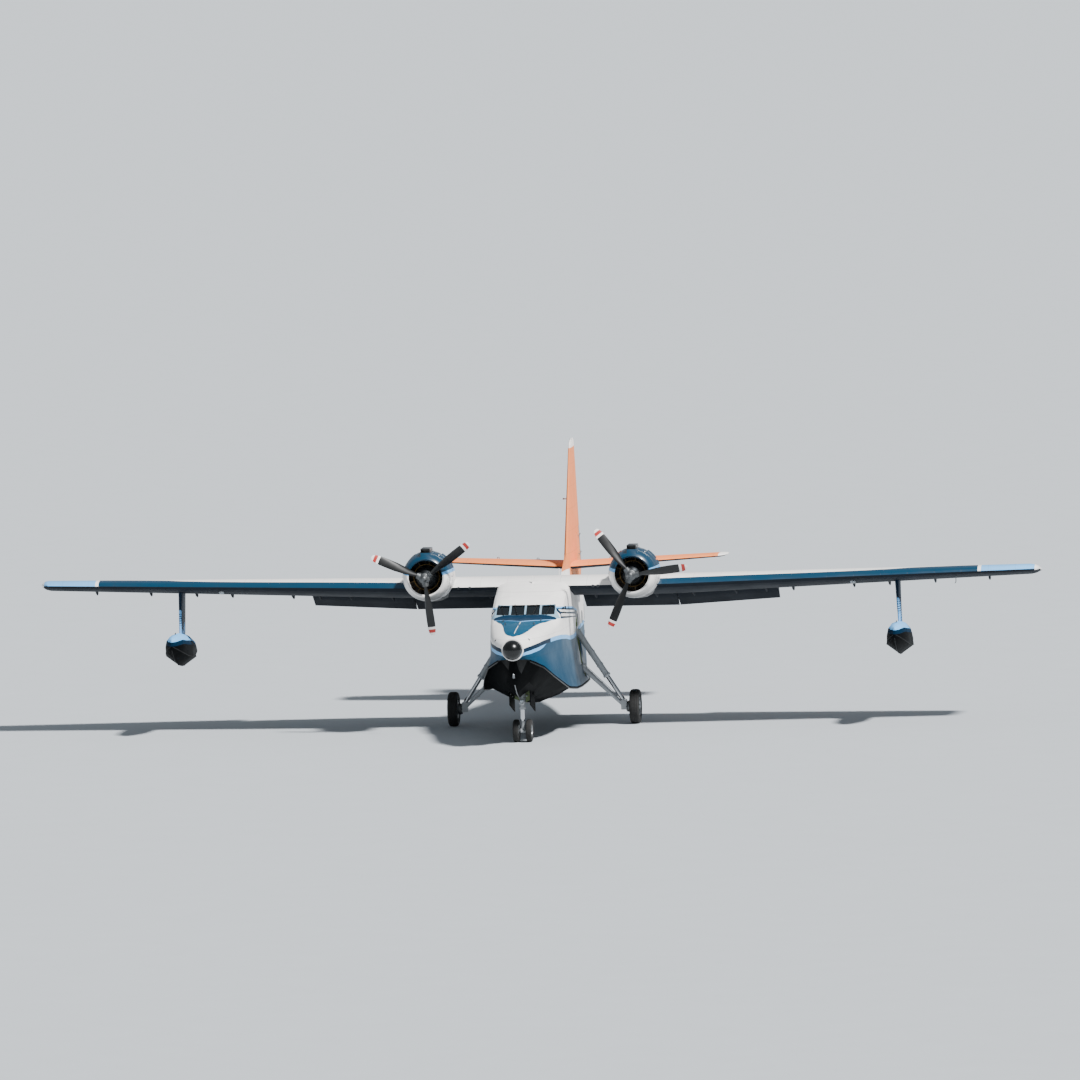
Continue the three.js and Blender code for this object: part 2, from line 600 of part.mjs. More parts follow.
function engines() {
  // Its back has a flange that meets the nacelle
  const cowl = [
    [545, COWL_FRONT], [600, COWL_FRONT + 40], [650, COWL_FRONT + 120], [700, COWL_FRONT + 300],
    [735, COWL_FRONT + 600], [COWL_RADIUS, COWL_BACK - FIT], [680, COWL_BACK - FIT], [680, COWL_BACK - 50],
    [712, COWL_BACK - 80], [708, COWL_FRONT + 620], [676, COWL_FRONT + 300], [590, COWL_FRONT + 150],
    [COWL_THROAT, COWL_FRONT + 70], [505, COWL_FRONT + 20], [545, COWL_FRONT],
  ];
  // A little inside the cowl's outer skin, so that the scoop stops within the wall
  const insideCowl = [
    [0, COWL_FRONT], [620, COWL_FRONT + 90], [688, COWL_FRONT + 300], [723, COWL_FRONT + 600],
    [728, COWL_BACK], [0, COWL_BACK],
  ];
  const wingSpace = (side) => loft([ENGINE_OUT - 900, CENTRE_SPAN + 200].map((out) => (
    foil(wingAt(0).thick, FIT / ROOT_CHORD).map((p) => {
      const [, y, z] = onWing(side, 0, p);
      return [side * out, y, z];
    }))));
  const angles = { left: [127, 7, 247], right: [37, 157, 277] };
  for (const [side, hand] of [[1, "left"], [-1, "right"]]) {
    const x = side * ENGINE_OUT;
    const ring = turnedAlong(x, THRUST_HEIGHT, cowl, 30);
    const scoop = box([x - 135, x + 135], [COWL_FRONT + 90, COWL_FRONT + 800],
      [THRUST_HEIGHT + 560, THRUST_HEIGHT + COWL_RADIUS + 105])
      .subtract(turnedAlong(x, THRUST_HEIGHT, insideCowl, 30));
    const mouth = box([x - 110, x + 110], [COWL_FRONT, COWL_FRONT + 330],
      [THRUST_HEIGHT + COWL_RADIUS - 5, THRUST_HEIGHT + COWL_RADIUS + 80]);
    piece(`cowling_${hand}`, ring.add(scoop).subtract(mouth), "blue");
    piece(`nacelle_${hand}`, nacelleLoft(side).subtract(wingSpace(side)), "white");

    const cases = [
      [0, COWL_FRONT + 30], [120, COWL_FRONT + 30], [215, COWL_FRONT + 110], [250, COWL_FRONT + 240],
      [300, COWL_FRONT + 300], [300, COWL_BACK - FIT], [0, COWL_BACK - FIT],
    ];
    const parts = [turnedAlong(x, THRUST_HEIGHT, cases, 18)];
    const shaft = [[x, PROP_PLANE + 160 + FIT, THRUST_HEIGHT], [x, COWL_FRONT + 60, THRUST_HEIGHT]];
    parts.push(bar(...shaft, 55, 55, 16));
    for (let n = 0; n < CYLINDERS; n++) {
      const angle = ((n + 0.25) / CYLINDERS) * 2 * Math.PI;
      const at = (r) => [x + r * Math.sin(angle), COWL_FRONT + 470, THRUST_HEIGHT + r * Math.cos(angle)];
      parts.push(bar(at(240), at(672), 92, 92, 10));
    }
    piece(`engine_${hand}`, join(...parts), "engine");
    piece(`propeller_${hand}`, propeller(x, angles[hand]), "black");
  }
}

// Blade sections: radius, chord, thickness and blade angle in degrees from the disc's plane
const BLADE = [
  [130, 150, 120, 60], [420, 210, 80, 48], [900, 285, 42, 32], [1350, 270, 24, 23], [1560, 230, 18, 20],
  [PROP_RADIUS - 1, 120, 12, 18],
];
const BLADE_OUTLINE = [
  [-0.5, 0], [-0.3, 0.42], [0, 0.5], [0.3, 0.36], [0.5, 0], [0.3, -0.1], [0, -0.12], [-0.3, -0.1],
];

function propeller(x, angles) {
  const hub = turnedAlong(x, THRUST_HEIGHT, [
    [0, PROP_PLANE - 260], [60, PROP_PLANE - 245], [92, PROP_PLANE - 190], [100, PROP_PLANE - 90],
    [165, PROP_PLANE - 80], [165, PROP_PLANE + 90], [110, PROP_PLANE + 100], [110, PROP_PLANE + 160],
    [0, PROP_PLANE + 160],
  ], 20);
  const blades = angles.map((degrees) => loft(BLADE.map(([r, chord, thick, pitch]) => (
    BLADE_OUTLINE.map(([u, v]) => {
      const twist = THREE.MathUtils.degToRad(pitch);
      const across = u * chord * Math.cos(twist) - v * thick * Math.sin(twist);
      const along = -u * chord * Math.sin(twist) - v * thick * Math.cos(twist);
      const point = new THREE.Vector3(r, along, across);
      point.applyAxisAngle(new THREE.Vector3(0, -1, 0), THREE.MathUtils.degToRad(degrees));
      return [x + point.x, station(PROP_PLANE) + point.y, THRUST_HEIGHT + point.z];
    })))));
  return join(hub, ...blades);
}

// Tail surfaces
function finChord(z) {
  const t = (z - FIN_BASE) / (FIN_TOP - FIN_BASE);
  const leading = FIN_LEADING_BASE + (FIN_LEADING_TOP - FIN_LEADING_BASE) * t;
  return (RUDDER_HINGE - leading) / FIN_SHARE;
}

const flat = () => 0;

function finRing(z, squeeze = 1) {
  const chord = finChord(Math.min(z, FIN_TOP)) * squeeze;
  const hinge = RUDDER_HINGE + (squeeze < 1 ? 60 : 0);
  const at = (u) => station(hinge + (u - FIN_SHARE) * chord);
  return foil(FIN_THICKNESS, 0, flat).map(([u, v]) => [v * chord, at(u), z]);
}

// Rudder by height: chord behind the hinge and nose radius
const RUDDER = [
  [3330, 1150, 95], [3650, 1640, 100], [FIN_BASE, LENGTH - RUDDER_HINGE, 98],
  [4300, (1 - FIN_SHARE) * finChord(4300), foilHalf(FIN_SHARE, FIN_THICKNESS) * finChord(4300)],
  [FIN_TOP, (1 - FIN_SHARE) * finChord(FIN_TOP), foilHalf(FIN_SHARE, FIN_THICKNESS) * finChord(FIN_TOP)],
  [TAIL_TOP - 70, 500, 26], [TAIL_TOP, 300, 14],
];

function rudderRing([z, chord, nose]) {
  const points = [[0, chord], [0.62 * nose, chord * 0.45]];
  for (const degrees of [0, 40, 90, 140, 180]) {
    const angle = THREE.MathUtils.degToRad(degrees);
    points.push([nose * Math.cos(angle), -nose * Math.sin(angle)]);
  }
  points.push([-0.62 * nose, chord * 0.45]);
  return points.map(([x, s]) => [x, station(RUDDER_HINGE + s), z]);
}

const COVE_HALF = 420; // of the space behind the fin, as wide as the gap between the elevators

// The open space behind the fin and the hull that the rudder turns in
function rudderCove() {
  return loft([3000, 3700, 4300, FIN_TOP, TAIL_TOP + 40].map((z) => {
    const height = Math.min(Math.max(z, 3330), TAIL_TOP);
    const nose = rowAt(RUDDER.map(([at, , r]) => ({ at, r })), "at", height).r;
    const front = RUDDER_HINGE - nose - SWING_GAP;
    return [[-COVE_HALF, front], [COVE_HALF, front], [COVE_HALF, 20500], [-COVE_HALF, 20500]]
      .map(([x, s]) => [x, station(s), z]);
  }));
}

function stabAt(out) {
  const t = Math.min(out / STAB_HALF, 1);
  const past = Math.max(0, (out - STAB_HALF) / (STAB_TIP - STAB_HALF));
  const full = 2600 - 1100 * t;
  const chord = full * Math.sqrt(1 - 0.8 * past ** 2);
  const leading = 15200 + 700 * t + (full - chord) * 0.55;
  return { chord, leading, thick: (0.088 - 0.014 * t) * chord / full };
}

function onStab(side, out, [x, z]) {
  const row = stabAt(out);
  const middle = STAB_HEIGHT + out * Math.tan(STAB_DIHEDRAL);
  return [side * out, station(row.leading + x * row.chord), middle + z * row.chord];
}

function stabilizerLoft(gap = 0) {
  const outs = [0, STAB_HALF, STAB_HALF + 130, STAB_TIP];
  const halves = [1, -1].map((side) => loft(outs.map((out) => {
    const row = stabAt(out);
    return foil(row.thick, gap / row.chord, flat).map((p) => onStab(side, out, p));
  })));
  return halves[0].add(halves[1]);
}

function stabSurface(side, from, to) {
  return loft([from, to].map((out) => (
    movingFoil(stabAt(out).thick, STAB_HINGE_SHARE, flat).map((p) => onStab(side, out, p)))));
}

const ELEVATOR = [430, 4330];
const ELEVATOR_GAP = 50; // at its outer end, which swings sideways because its hinge is tilted

function stabilizer() {
  const pins = [];
  for (const [side, hand] of [[1, "left"], [-1, "right"]]) {
    const hinge = (out) => new THREE.Vector3(...onStab(side, out, [STAB_HINGE_SHARE, 0]));
    const line = hingeLine(hinge, ...ELEVATOR);
    pins.push(pin(line, ELEVATOR[0] - END_GAP - PIN_ROOT, ELEVATOR[0] + PIN_IN));
    pins.push(pin(line, ELEVATOR[1] - PIN_IN, ELEVATOR[1] + ELEVATOR_GAP + PIN_ROOT));
    const elevator = stabSurface(side, ...ELEVATOR)
      .subtract(bore(line, ELEVATOR[0] - PIN_ROOT, ELEVATOR[0] + PIN_IN + 20))
      .subtract(bore(line, ELEVATOR[1] - PIN_IN - 20, ELEVATOR[1] + PIN_ROOT));
    piece(`elevator_${hand}`, elevator, "orange");
  }
  const coves = [1, -1].map((side) => loft([ELEVATOR[0] - END_GAP, ELEVATOR[1] + ELEVATOR_GAP].map((out) => {
    const row = stabAt(out);
    const front = STAB_HINGE_SHARE - foilHalf(STAB_HINGE_SHARE, row.thick) - SWING_GAP / row.chord;
    return [[front, 0.3], [1.3, 0.3], [1.3, -0.3], [front, -0.3]].map((p) => onStab(side, out, p));
  })));
  const stab = [...coves, rudderCove()].reduce((left, cut) => left.subtract(cut), stabilizerLoft());
  piece("stabilizer", join(stab, ...pins), "orange");
}

const RUDDER_BRACKETS = [5000, 6900]; // heights
const BRACKET = { thick: 24, slot: 44, half: 22, back: 24, slotBack: 75, pin: 32 };

function rudderPin(z, radius, reach) {
  return bar([0, RUDDER_HINGE, z - reach], [0, RUDDER_HINGE, z + reach], radius, radius, 12);
}

function fin() {
  const rings = [
    finRing(FIN_BASE - 270), finRing(FIN_TOP), finRing(TAIL_TOP - 70, 0.85), finRing(TAIL_TOP, 0.5),
  ];
  const dorsal = loft([[13450, 3800, 3960, 30], [14900, 3650, 4560, 60]].map(([s, low, top, half]) => (
    [[-half, low], [half, low], [half * 0.4, top], [-half * 0.4, top]].map(([x, z]) => [x, station(s), z]))));
  const hullSpace = hullBetween(TAIL_START, TAIL_END, -FIT);
  const cuts = [rudderCove(), hullSpace, stabilizerLoft(FIT)];
  const skin = biggest(cuts.reduce((left, cut) => left.subtract(cut), loft(rings).add(dorsal)));
  const brackets = RUDDER_BRACKETS.map((z) => join(
    box([-BRACKET.half, BRACKET.half], [RUDDER_HINGE - 200, RUDDER_HINGE + BRACKET.back],
      [z - BRACKET.thick / 2, z + BRACKET.thick / 2]),
    rudderPin(z, PIN, BRACKET.pin),
  ));
  piece("fin", join(skin, ...brackets), "orange");

  const slots = RUDDER_BRACKETS.map((z) => join(
    box([-200, 200], [RUDDER_HINGE - 200, RUDDER_HINGE + BRACKET.slotBack],
      [z - BRACKET.slot / 2, z + BRACKET.slot / 2]),
    rudderPin(z, PIN + PIN_PLAY, BRACKET.pin + 10),
  ));
  piece("rudder", slots.reduce((left, cut) => left.subtract(cut), loft(RUDDER.map(rudderRing))), "orange");
}

// Floats by station: keel height, chine half width and height, side half width and height where the
// round deck begins, and deck height
const FLOAT = [
  [5350, 2660, 25, 2700, 35, 2740, 2890], [5500, 2500, 140, 2620, 150, 2720, 2960],
  [5950, 2270, 260, 2480, 270, 2660, 3000], [6600, 2080, 335, 2330, 330, 2580, 3005],
  [7400, 1985, 355, 2240, 330, 2520, 2955], [8000, 1955, 345, 2200, 310, 2490, 2860],
  [8002, 2030, 330, 2225, 310, 2490, 2860], [8800, 2130, 270, 2300, 245, 2450, 2690],
  [9700, 2330, 90, 2400, 80, 2440, 2520],
];
// Its strut at the foot and the top: height, thickness as a share of the chord, and how far inboard
const FLOAT_STRUT = { chord: 1200, station: 7450, rows: [[2850, 0.06, 0], [4500, 0.15, 50]] };

function floats() {
  for (const [side, hand] of [[1, "left"], [-1, "right"]]) {
    const x = side * FLOAT_OUT;
    const hullOf = (gap) => loft(FLOAT.map(([s, keel, chine, chineZ, half, sideZ, top]) => {
      const arch = [0, 30, 60].map((degrees) => {
        const angle = THREE.MathUtils.degToRad(degrees);
        return [(half + gap) * Math.cos(angle), sideZ + (top + gap - sideZ) * Math.sin(angle)];
      });
      const port = [[chine + gap, chineZ], [chine + gap, chineZ + 30], ...arch];
      const starboard = port.map(([dx, z]) => [-dx, z]).reverse();
      return [[0, keel - gap], ...port, [0, top + gap], ...starboard]
        .map(([dx, z]) => [x + dx, station(s), z]);
    }));
    piece(`float_${hand}`, hullOf(0), "paleBlue");
    const { chord, rows } = FLOAT_STRUT;
    const along = (u) => station(FLOAT_STRUT.station + (u - 0.3) * chord);
    const pylon = loft(rows.map(([z, thick, inboard]) => (
      foil(thick, 0, flat).map(([u, v]) => [x - side * inboard + v * chord, along(u), z]))));
    const wingSpace = wingBetween(side, [CENTRE_SPAN, TIP_START], FIT);
    const between = box([x - 400, x + 400], [6000, 10000], [2600, 4300]);
    const strut = pylon.subtract(hullOf(FIT)).subtract(wingSpace).intersect(between);
    piece(`float_strut_${hand}`, strut, "blue");
  }
}

// Undercarriage
const NOSE_WELL = { half: 310, stations: [1850, 3250], roof: 1900 };
const AXLE_SIDES = 24;
const AXLE_PLAY = 0.8; // round an axle, so that flat-sided bores turn freely

function tyre(name, x, s, side, radius, width, rim) {
  const profile = [
    [rim, -width * 0.36], [radius * 0.8, -width * 0.5], [radius * 0.95, -width * 0.4], [radius, -width * 0.2],
    [radius, width * 0.2], [radius * 0.95, width * 0.4], [radius * 0.8, width * 0.5], [rim, width * 0.36],
    [rim, -width * 0.36],
  ];
  piece(name, turnedAcross(x, s, radius, side, profile, AXLE_SIDES), "rubber");
}

// A wheel's hub, bored for an axle, or solid to its middle if bore is 0
function hub(x, s, side, radius, width, rim, bore) {
  const profile = [
    [bore, -width * 0.3], [rim * 0.85, -width * 0.3], [rim - FIT, -width * 0.4], [rim - FIT, width * 0.4],
    [rim * 0.88, width * 0.4], [rim * 0.8, width * 0.1], [rim * 0.4, width * 0.2], [rim * 0.35, width * 0.36],
    [bore, width * 0.36],
  ];
  if (bore > 0) profile.push([bore, -width * 0.3]);
  return turnedAcross(x, s, radius, side, profile, AXLE_SIDES);
}

function noseWheels() {
  const hubs = [1, -1].map((side) => (
    hub(side * NOSE_OUT, NOSE_STATION, side, NOSE_RADIUS, NOSE_WIDTH, 165, 0)));
  const [from, to] = [-NOSE_OUT, NOSE_OUT].map((x) => [x, NOSE_STATION, NOSE_RADIUS]);
  const axle = bar(from, to, 36, 36, AXLE_SIDES);
  piece("nose_wheel_axle", join(axle, ...hubs), "steel");
  for (const [side, hand] of [[1, "left"], [-1, "right"]]) {
    tyre(`nose_tyre_${hand}`, side * NOSE_OUT, NOSE_STATION, side, NOSE_RADIUS, NOSE_WIDTH, 165);
  }
}

function mainGear() {
  for (const [side, hand] of [[1, "left"], [-1, "right"]]) {
    const knuckle = [side * 2390, MAIN_STATION, MAIN_RADIUS];
    const out = (x) => side * x;
    const arm = join(
      bar([out(1150), MAIN_STATION - 140, 1690], [out(2330), MAIN_STATION - 40, 560], 62, 50, 12),
      bar([out(1150), MAIN_STATION + 140, 1690], [out(2330), MAIN_STATION + 40, 560], 62, 50, 12),
      box([out(2270), out(2440)], [MAIN_STATION - 110, MAIN_STATION + 110], [420, 700]),
      bar(knuckle, [out(2690 + 150), MAIN_STATION, MAIN_RADIUS], 50, 50, AXLE_SIDES),
      box([out(WELL_FLOOR + FIT), out(1190)], [MAIN_STATION - 190, MAIN_STATION + 190], [1610, 1770]),
    );
    const foot = [out(2340), MAIN_STATION, 700];
    const head = [out(1000), MAIN_STATION, 2780];
    const sleeveEnd = [out(1860), MAIN_STATION, 1445];
    const inSleeve = [out(1700), MAIN_STATION, 1693];
    const leg = join(
      bar(head, sleeveEnd, 95, 95, 12),
      bar(inSleeve, foot, 64, 64, 12),
      box([out(WELL_FLOOR + FIT), out(1030)], [MAIN_STATION - 130, MAIN_STATION + 130], [2680, 2880]),
    ).subtract(box([out(2200), out(2600)], [MAIN_STATION - 300, MAIN_STATION + 300], [300, 700 + FIT]));
    piece(`gear_arm_${hand}`, arm.subtract(leg), "steel");
    piece(`gear_leg_${hand}`, leg, "steel");
    tyre(`main_tyre_${hand}`, out(MAIN_OUT), MAIN_STATION, side, MAIN_RADIUS, MAIN_WIDTH, 255);
    const wheel = hub(out(MAIN_OUT), MAIN_STATION, side, MAIN_RADIUS, MAIN_WIDTH, 255, 50 + AXLE_PLAY);
    piece(`main_hub_${hand}`, wheel, "steel");
  }
}

function noseGear() {
  const s = NOSE_STATION;
  const roof = NOSE_WELL.roof;
  const strutBottom = 960;
  const leg = join(
    bar([0, s, roof - FIT], [0, s, strutBottom], 85, 85, 16),
    bar([0, s + 520, roof - 60], [0, s + 60, 1150], 38, 38, 10),
    box([-120, 120], [s + 450, s + 600], [roof - 110, roof - FIT]),
  );
  piece("nose_gear_leg", leg, "steel");
  const fork = join(
    bar([0, s, strutBottom - FIT], [0, s, NOSE_RADIUS + 40], 60, 60, 16),
    bar([-65, s, NOSE_RADIUS], [65, s, NOSE_RADIUS], 75, 75, AXLE_SIDES),
    box([-45, 45], [s - 150, s - 60], [NOSE_RADIUS - 30, NOSE_RADIUS + 30]),
    box([-45, 45], [s + 40, s + 150], [520, 600]),
    box([-45, 45], [s + 90, s + 150], [580, 900]),
    box([-45, 45], [s + 40, s + 150], [840, 900]),
  ).subtract(bar([-90, s, NOSE_RADIUS], [90, s, NOSE_RADIUS], 36 + AXLE_PLAY, 36 + AXLE_PLAY, AXLE_SIDES));
  piece("nose_gear_fork", fork, "steel");
  noseWheels();
  for (const [side, hand] of [[1, "left"], [-1, "right"]]) {
    const outer = side * (NOSE_WELL.half - FIT);
    const inner = outer - side * 22;
    // Its upper edge reaches into the well, and it hangs 320 below the keel
    const ends = [[NOSE_WELL.stations[0] + 80, 1450], [NOSE_WELL.stations[1] - 80, 1150]];
    const door = loft(ends.map(([at, keel]) => (
      [[outer, keel + 150], [outer, keel - 320], [inner, keel - 320], [inner, keel + 150]]
        .map(([x, z]) => [x, station(at), z]))));
    piece(`nose_gear_door_${hand}`, door, "blue");
  }
}

bowHull();
cabinHull();
cabinDoor();
tailHull();
radome();
cockpitGlass();
cockpitInside();
wing();
engines();
stabilizer();
fin();
floats();
mainGear();
noseGear();

export default group;
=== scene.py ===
import json
import math

import bmesh
import bpy
from mathutils import Matrix, Vector
from mathutils.bvhtree import BVHTree

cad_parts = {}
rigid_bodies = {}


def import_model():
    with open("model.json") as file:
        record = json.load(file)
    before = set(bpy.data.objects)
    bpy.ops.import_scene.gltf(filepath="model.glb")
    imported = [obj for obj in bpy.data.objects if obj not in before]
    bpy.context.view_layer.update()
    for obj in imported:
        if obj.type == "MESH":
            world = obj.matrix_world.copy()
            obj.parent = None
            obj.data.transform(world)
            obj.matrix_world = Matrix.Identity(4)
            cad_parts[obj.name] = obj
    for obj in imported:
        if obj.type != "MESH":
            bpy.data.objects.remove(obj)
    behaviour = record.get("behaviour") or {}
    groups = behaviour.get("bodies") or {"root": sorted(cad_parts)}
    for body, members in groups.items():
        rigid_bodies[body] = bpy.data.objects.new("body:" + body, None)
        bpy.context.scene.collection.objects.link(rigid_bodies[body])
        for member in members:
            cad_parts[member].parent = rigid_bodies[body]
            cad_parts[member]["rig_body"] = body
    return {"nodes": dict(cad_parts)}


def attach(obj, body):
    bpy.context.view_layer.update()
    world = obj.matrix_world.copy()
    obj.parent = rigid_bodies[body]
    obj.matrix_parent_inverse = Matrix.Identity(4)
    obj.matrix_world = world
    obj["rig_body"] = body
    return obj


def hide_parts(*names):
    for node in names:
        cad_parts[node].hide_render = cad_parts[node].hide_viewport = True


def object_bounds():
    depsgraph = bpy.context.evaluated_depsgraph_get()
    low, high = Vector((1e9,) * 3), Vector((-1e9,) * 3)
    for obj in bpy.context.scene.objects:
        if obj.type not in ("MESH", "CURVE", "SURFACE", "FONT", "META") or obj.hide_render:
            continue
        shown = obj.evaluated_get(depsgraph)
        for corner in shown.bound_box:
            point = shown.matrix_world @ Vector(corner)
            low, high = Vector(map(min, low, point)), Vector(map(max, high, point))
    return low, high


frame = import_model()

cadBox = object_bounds()
halfLength = -cadBox[0][1]
sides = {"left": 1, "right": -1}


def spotAt(x, s, z):  # a point from its distance to port, its station and its height
    return Vector((x, s - halfLength, z))


def spoke(degrees):  # the way out from an engine's shaft, clockwise from straight up
    return Vector((math.sin(math.radians(degrees)), 0, math.cos(math.radians(degrees))))


def between(points, value):  # the height of a line of (value, height) points
    for (a, low), (b, high) in zip(points, points[1:]):
        if value <= b or b == points[-1][0]:
            return low + (high - low) * (value - a) / (b - a)


def bodyOf(node):
    return frame["nodes"][node]["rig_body"]


# Modelling helpers

def makeActive(piece):
    if bpy.context.object and bpy.context.object.mode != "OBJECT":
        bpy.ops.object.mode_set(mode="OBJECT")
    bpy.ops.object.select_all(action="DESELECT")
    if piece:
        piece.select_set(True)
        bpy.context.view_layer.objects.active = piece


def addObject(name, data):
    item = bpy.data.objects.new(name, data)
    bpy.context.scene.collection.objects.link(item)
    return item


def addShape(kind, name, **size):
    makeActive(None)
    getattr(bpy.ops.mesh, f"primitive_{kind}_add")(**size)
    piece = bpy.context.object
    piece.name = name
    return piece


def pickAll(piece):
    makeActive(piece)
    bpy.ops.object.mode_set(mode="EDIT")
    bpy.ops.mesh.select_mode(type="VERT")
    bpy.ops.mesh.select_all(action="SELECT")


def applyPlace(piece):
    makeActive(piece)
    bpy.ops.object.transform_apply(location=True, rotation=True, scale=True)


def closeUp(merge=0.0001):  # welds what is picked, turns its faces outwards and leaves edit mode
    bpy.ops.mesh.remove_doubles(threshold=merge)
    bpy.ops.mesh.normals_make_consistent(inside=False)
    bpy.ops.object.mode_set(mode="OBJECT")


def modify(piece, kind, **settings):
    makeActive(piece)
    modifier = piece.modifiers.new(kind, kind)
    for name, value in settings.items():
        setattr(modifier, name, value)
    bpy.ops.object.modifier_apply(modifier=modifier.name)


def bevelEdges(piece, width, segments=2, angle=40):
    modify(piece, "BEVEL", width=width, segments=segments, limit_method="ANGLE",
           angle_limit=math.radians(angle))


def smooth(piece, angle):
    makeActive(piece)
    bpy.ops.object.shade_smooth_by_angle(angle=math.radians(angle))


def fromPoints(name, points, edges=(), faces=()):
    mesh = bpy.data.meshes.new(name)
    mesh.from_pydata([tuple(p) for p in points], list(edges), list(faces))
    return addObject(name, mesh)


def turned(name, profile, centre, axis, steps=32):  # profile is (radius, distance along the axis)
    axis = Vector(axis).normalized()
    out = Vector((0, 0, 1)) if abs(axis.z) < 0.5 else Vector((1, 0, 0))
    out = (out - axis * out.dot(axis)).normalized()
    points = [Vector(centre) + out * r + axis * along for r, along in profile]
    piece = fromPoints(name, points, [(n, n + 1) for n in range(len(points) - 1)])
    pickAll(piece)
    bpy.ops.mesh.spin(steps=steps, angle=2 * math.pi, center=centre, axis=axis)
    bpy.ops.mesh.select_all(action="SELECT")
    closeUp()
    return piece


def skinned(name, rings):  # a closed skin through rings of points
    count = len(rings[0])
    faces = []
    for n in range(len(rings) - 1):
        for k in range(count):
            a, b = n * count + k, n * count + (k + 1) % count
            faces.append((a, b, b + count, a + count))
    faces.append(tuple(range(count)))
    faces.append(tuple(range((len(rings) - 1) * count, len(rings) * count)))
    piece = fromPoints(name, [point for ring in rings for point in ring], faces=faces)
    pickAll(piece)
    closeUp()
    return piece


def rod(name, a, b, radius, endRadius=None, sides=16, bevel=0.002):
    a, b = Vector(a), Vector(b)
    end = radius if endRadius is None else endRadius
    turn = (b - a).to_track_quat("Z", "Y").to_euler()
    piece = addShape("cone", name, vertices=sides, radius1=radius, radius2=end, depth=(b - a).length,
                     location=(a + b) / 2, rotation=turn)
    applyPlace(piece)
    if bevel:
        bevelEdges(piece, bevel, 1, 50)
    return piece


def block(name, low, high, bevel=0.004, segments=2):
    low, high = Vector(low), Vector(high)
    piece = addShape("cube", name, size=1, location=(low + high) / 2)
    piece.scale = [abs(v) for v in high - low]
    applyPlace(piece)
    if bevel:
        bevelEdges(piece, bevel, segments, 40)
    return piece


def tube(name, points, radius, closed=False, sides=8, cuts=0):
    curve = bpy.data.curves.new(name, "CURVE")
    curve.dimensions = "3D"
    curve.bevel_depth = radius
    curve.bevel_resolution = sides // 4
    curve.use_fill_caps = True
    line = curve.splines.new("POLY")
    line.points.add(len(points) - 1)
    for spot, point in zip(line.points, points):
        spot.co = (*point, 1)
    line.use_cyclic_u = closed
    if cuts:
        line.type = "NURBS"
        line.order_u = 3
        line.use_endpoint_u = not closed
        curve.resolution_u = cuts
    makeActive(addObject(name, curve))
    bpy.ops.object.convert(target="MESH")
    return bpy.context.object


def copyOf(piece, name, matrix):
    mesh = piece.data.copy()
    mesh.transform(matrix)
    if matrix.determinant() < 0:
        mesh.flip_normals()
    return addObject(name, mesh)


def joined(pieces, name):
    makeActive(pieces[0])
    for piece in pieces:
        piece.select_set(True)
    if len(pieces) > 1:
        bpy.ops.object.join()
    bpy.context.object.name = name
    return bpy.context.object


mirrorX = Matrix.Diagonal((-1, 1, 1, 1))


def shift(x, y=0.0, z=0.0):
    return Matrix.Translation((x, y, z))


def turnAbout(centre, axis, degrees):
    turn = Matrix.Rotation(math.radians(degrees), 4, Vector(axis))
    return shift(*centre) @ turn @ shift(*(-Vector(centre)))


def dress(piece, node, look, angle=35):  # finishes a piece that rides on this node's body
    applyPlace(piece)
    if angle:
        smooth(piece, angle)
    piece.data.materials.clear()
    piece.data.materials.append(looks[look])
    body = bodyOf(node)
    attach(piece, body)
    return piece


def dressPair(piece, name, matrix, node, look, angle=35):  # a left piece and its copy on the right
    twin = copyOf(piece, name + "_right", matrix)
    piece.name = name + "_left"
    halves = {"_left": piece, "_right": twin}
    return [dress(half, node + end, look, angle) for end, half in halves.items()]


# Material helpers

colours = {"white": "#fbf7f3", "deckBlue": "#004a68", "sideBlue": "#053d58", "blue": "#00344d",
           "navy": "#042238",
           "paleBlue": "#79bbf2", "windowBlue": "#082a42", "black": "#030405", "orange": "#f99256",
           "slate": "#22272e", "red": "#b5302a", "tabBlue": "#4f6779", "gear": "#a9adb0", "post": "#8fb0c4",
           "primer": "#7f8f66", "cockpit": "#1f2427", "cabin": "#a9adaa"}


def linear(code):  # a name from the table above, or an sRGB hex code
    code = colours.get(code, code)
    values = [int(code[n:n + 2], 16) / 255 for n in (1, 3, 5)]
    return tuple(v / 12.92 if v <= 0.04045 else ((v + 0.055) / 1.055) ** 2.4 for v in values) + (1.0,)


# An input is a value, a colour, a node, or a node and the name of its output
def addNode(tree, kind, inputs=(), **settings):
    node = tree.nodes.new("ShaderNode" + kind)
    for name, value in settings.items():
        setattr(node, name, value)
    live = [socket for socket in node.inputs if socket.enabled]
    for key, value in inputs.items() if isinstance(inputs, dict) else enumerate(inputs):
        socket = live[key] if isinstance(key, int) else next(s for s in live if s.name == key)
        if isinstance(value, bpy.types.Node):
            tree.links.new(next(s for s in value.outputs if s.enabled), socket)
        elif isinstance(value, tuple) and isinstance(value[0], bpy.types.Node):
            tree.links.new(value[0].outputs[value[1]], socket)
        elif isinstance(value, str):
            socket.default_value = linear(value)[:len(socket.default_value)]
        else:
            socket.default_value = value
    return node


def maths(tree, operation, *inputs):
    return addNode(tree, "Math", inputs, operation=operation)


def above(tree, value, line):
    return maths(tree, "GREATER_THAN", value, line)


def below(tree, value, line):
    return maths(tree, "LESS_THAN", value, line)


def both(tree, first, *others):  # 1 where every test is 1
    for other in others:
        first = maths(tree, "MULTIPLY", first, other)
    return first


def mixed(tree, share, low, high):
    return addNode(tree, "Mix", (share, low, high), data_type="RGBA")


def scaled(tree, colour, share):
    return addNode(tree, "VectorMath", {0: colour, "Scale": share}, operation="SCALE")


def ranged(tree, value, low, high):
    return addNode(tree, "MapRange", {"Value": value, "To Min": low, "To Max": high})


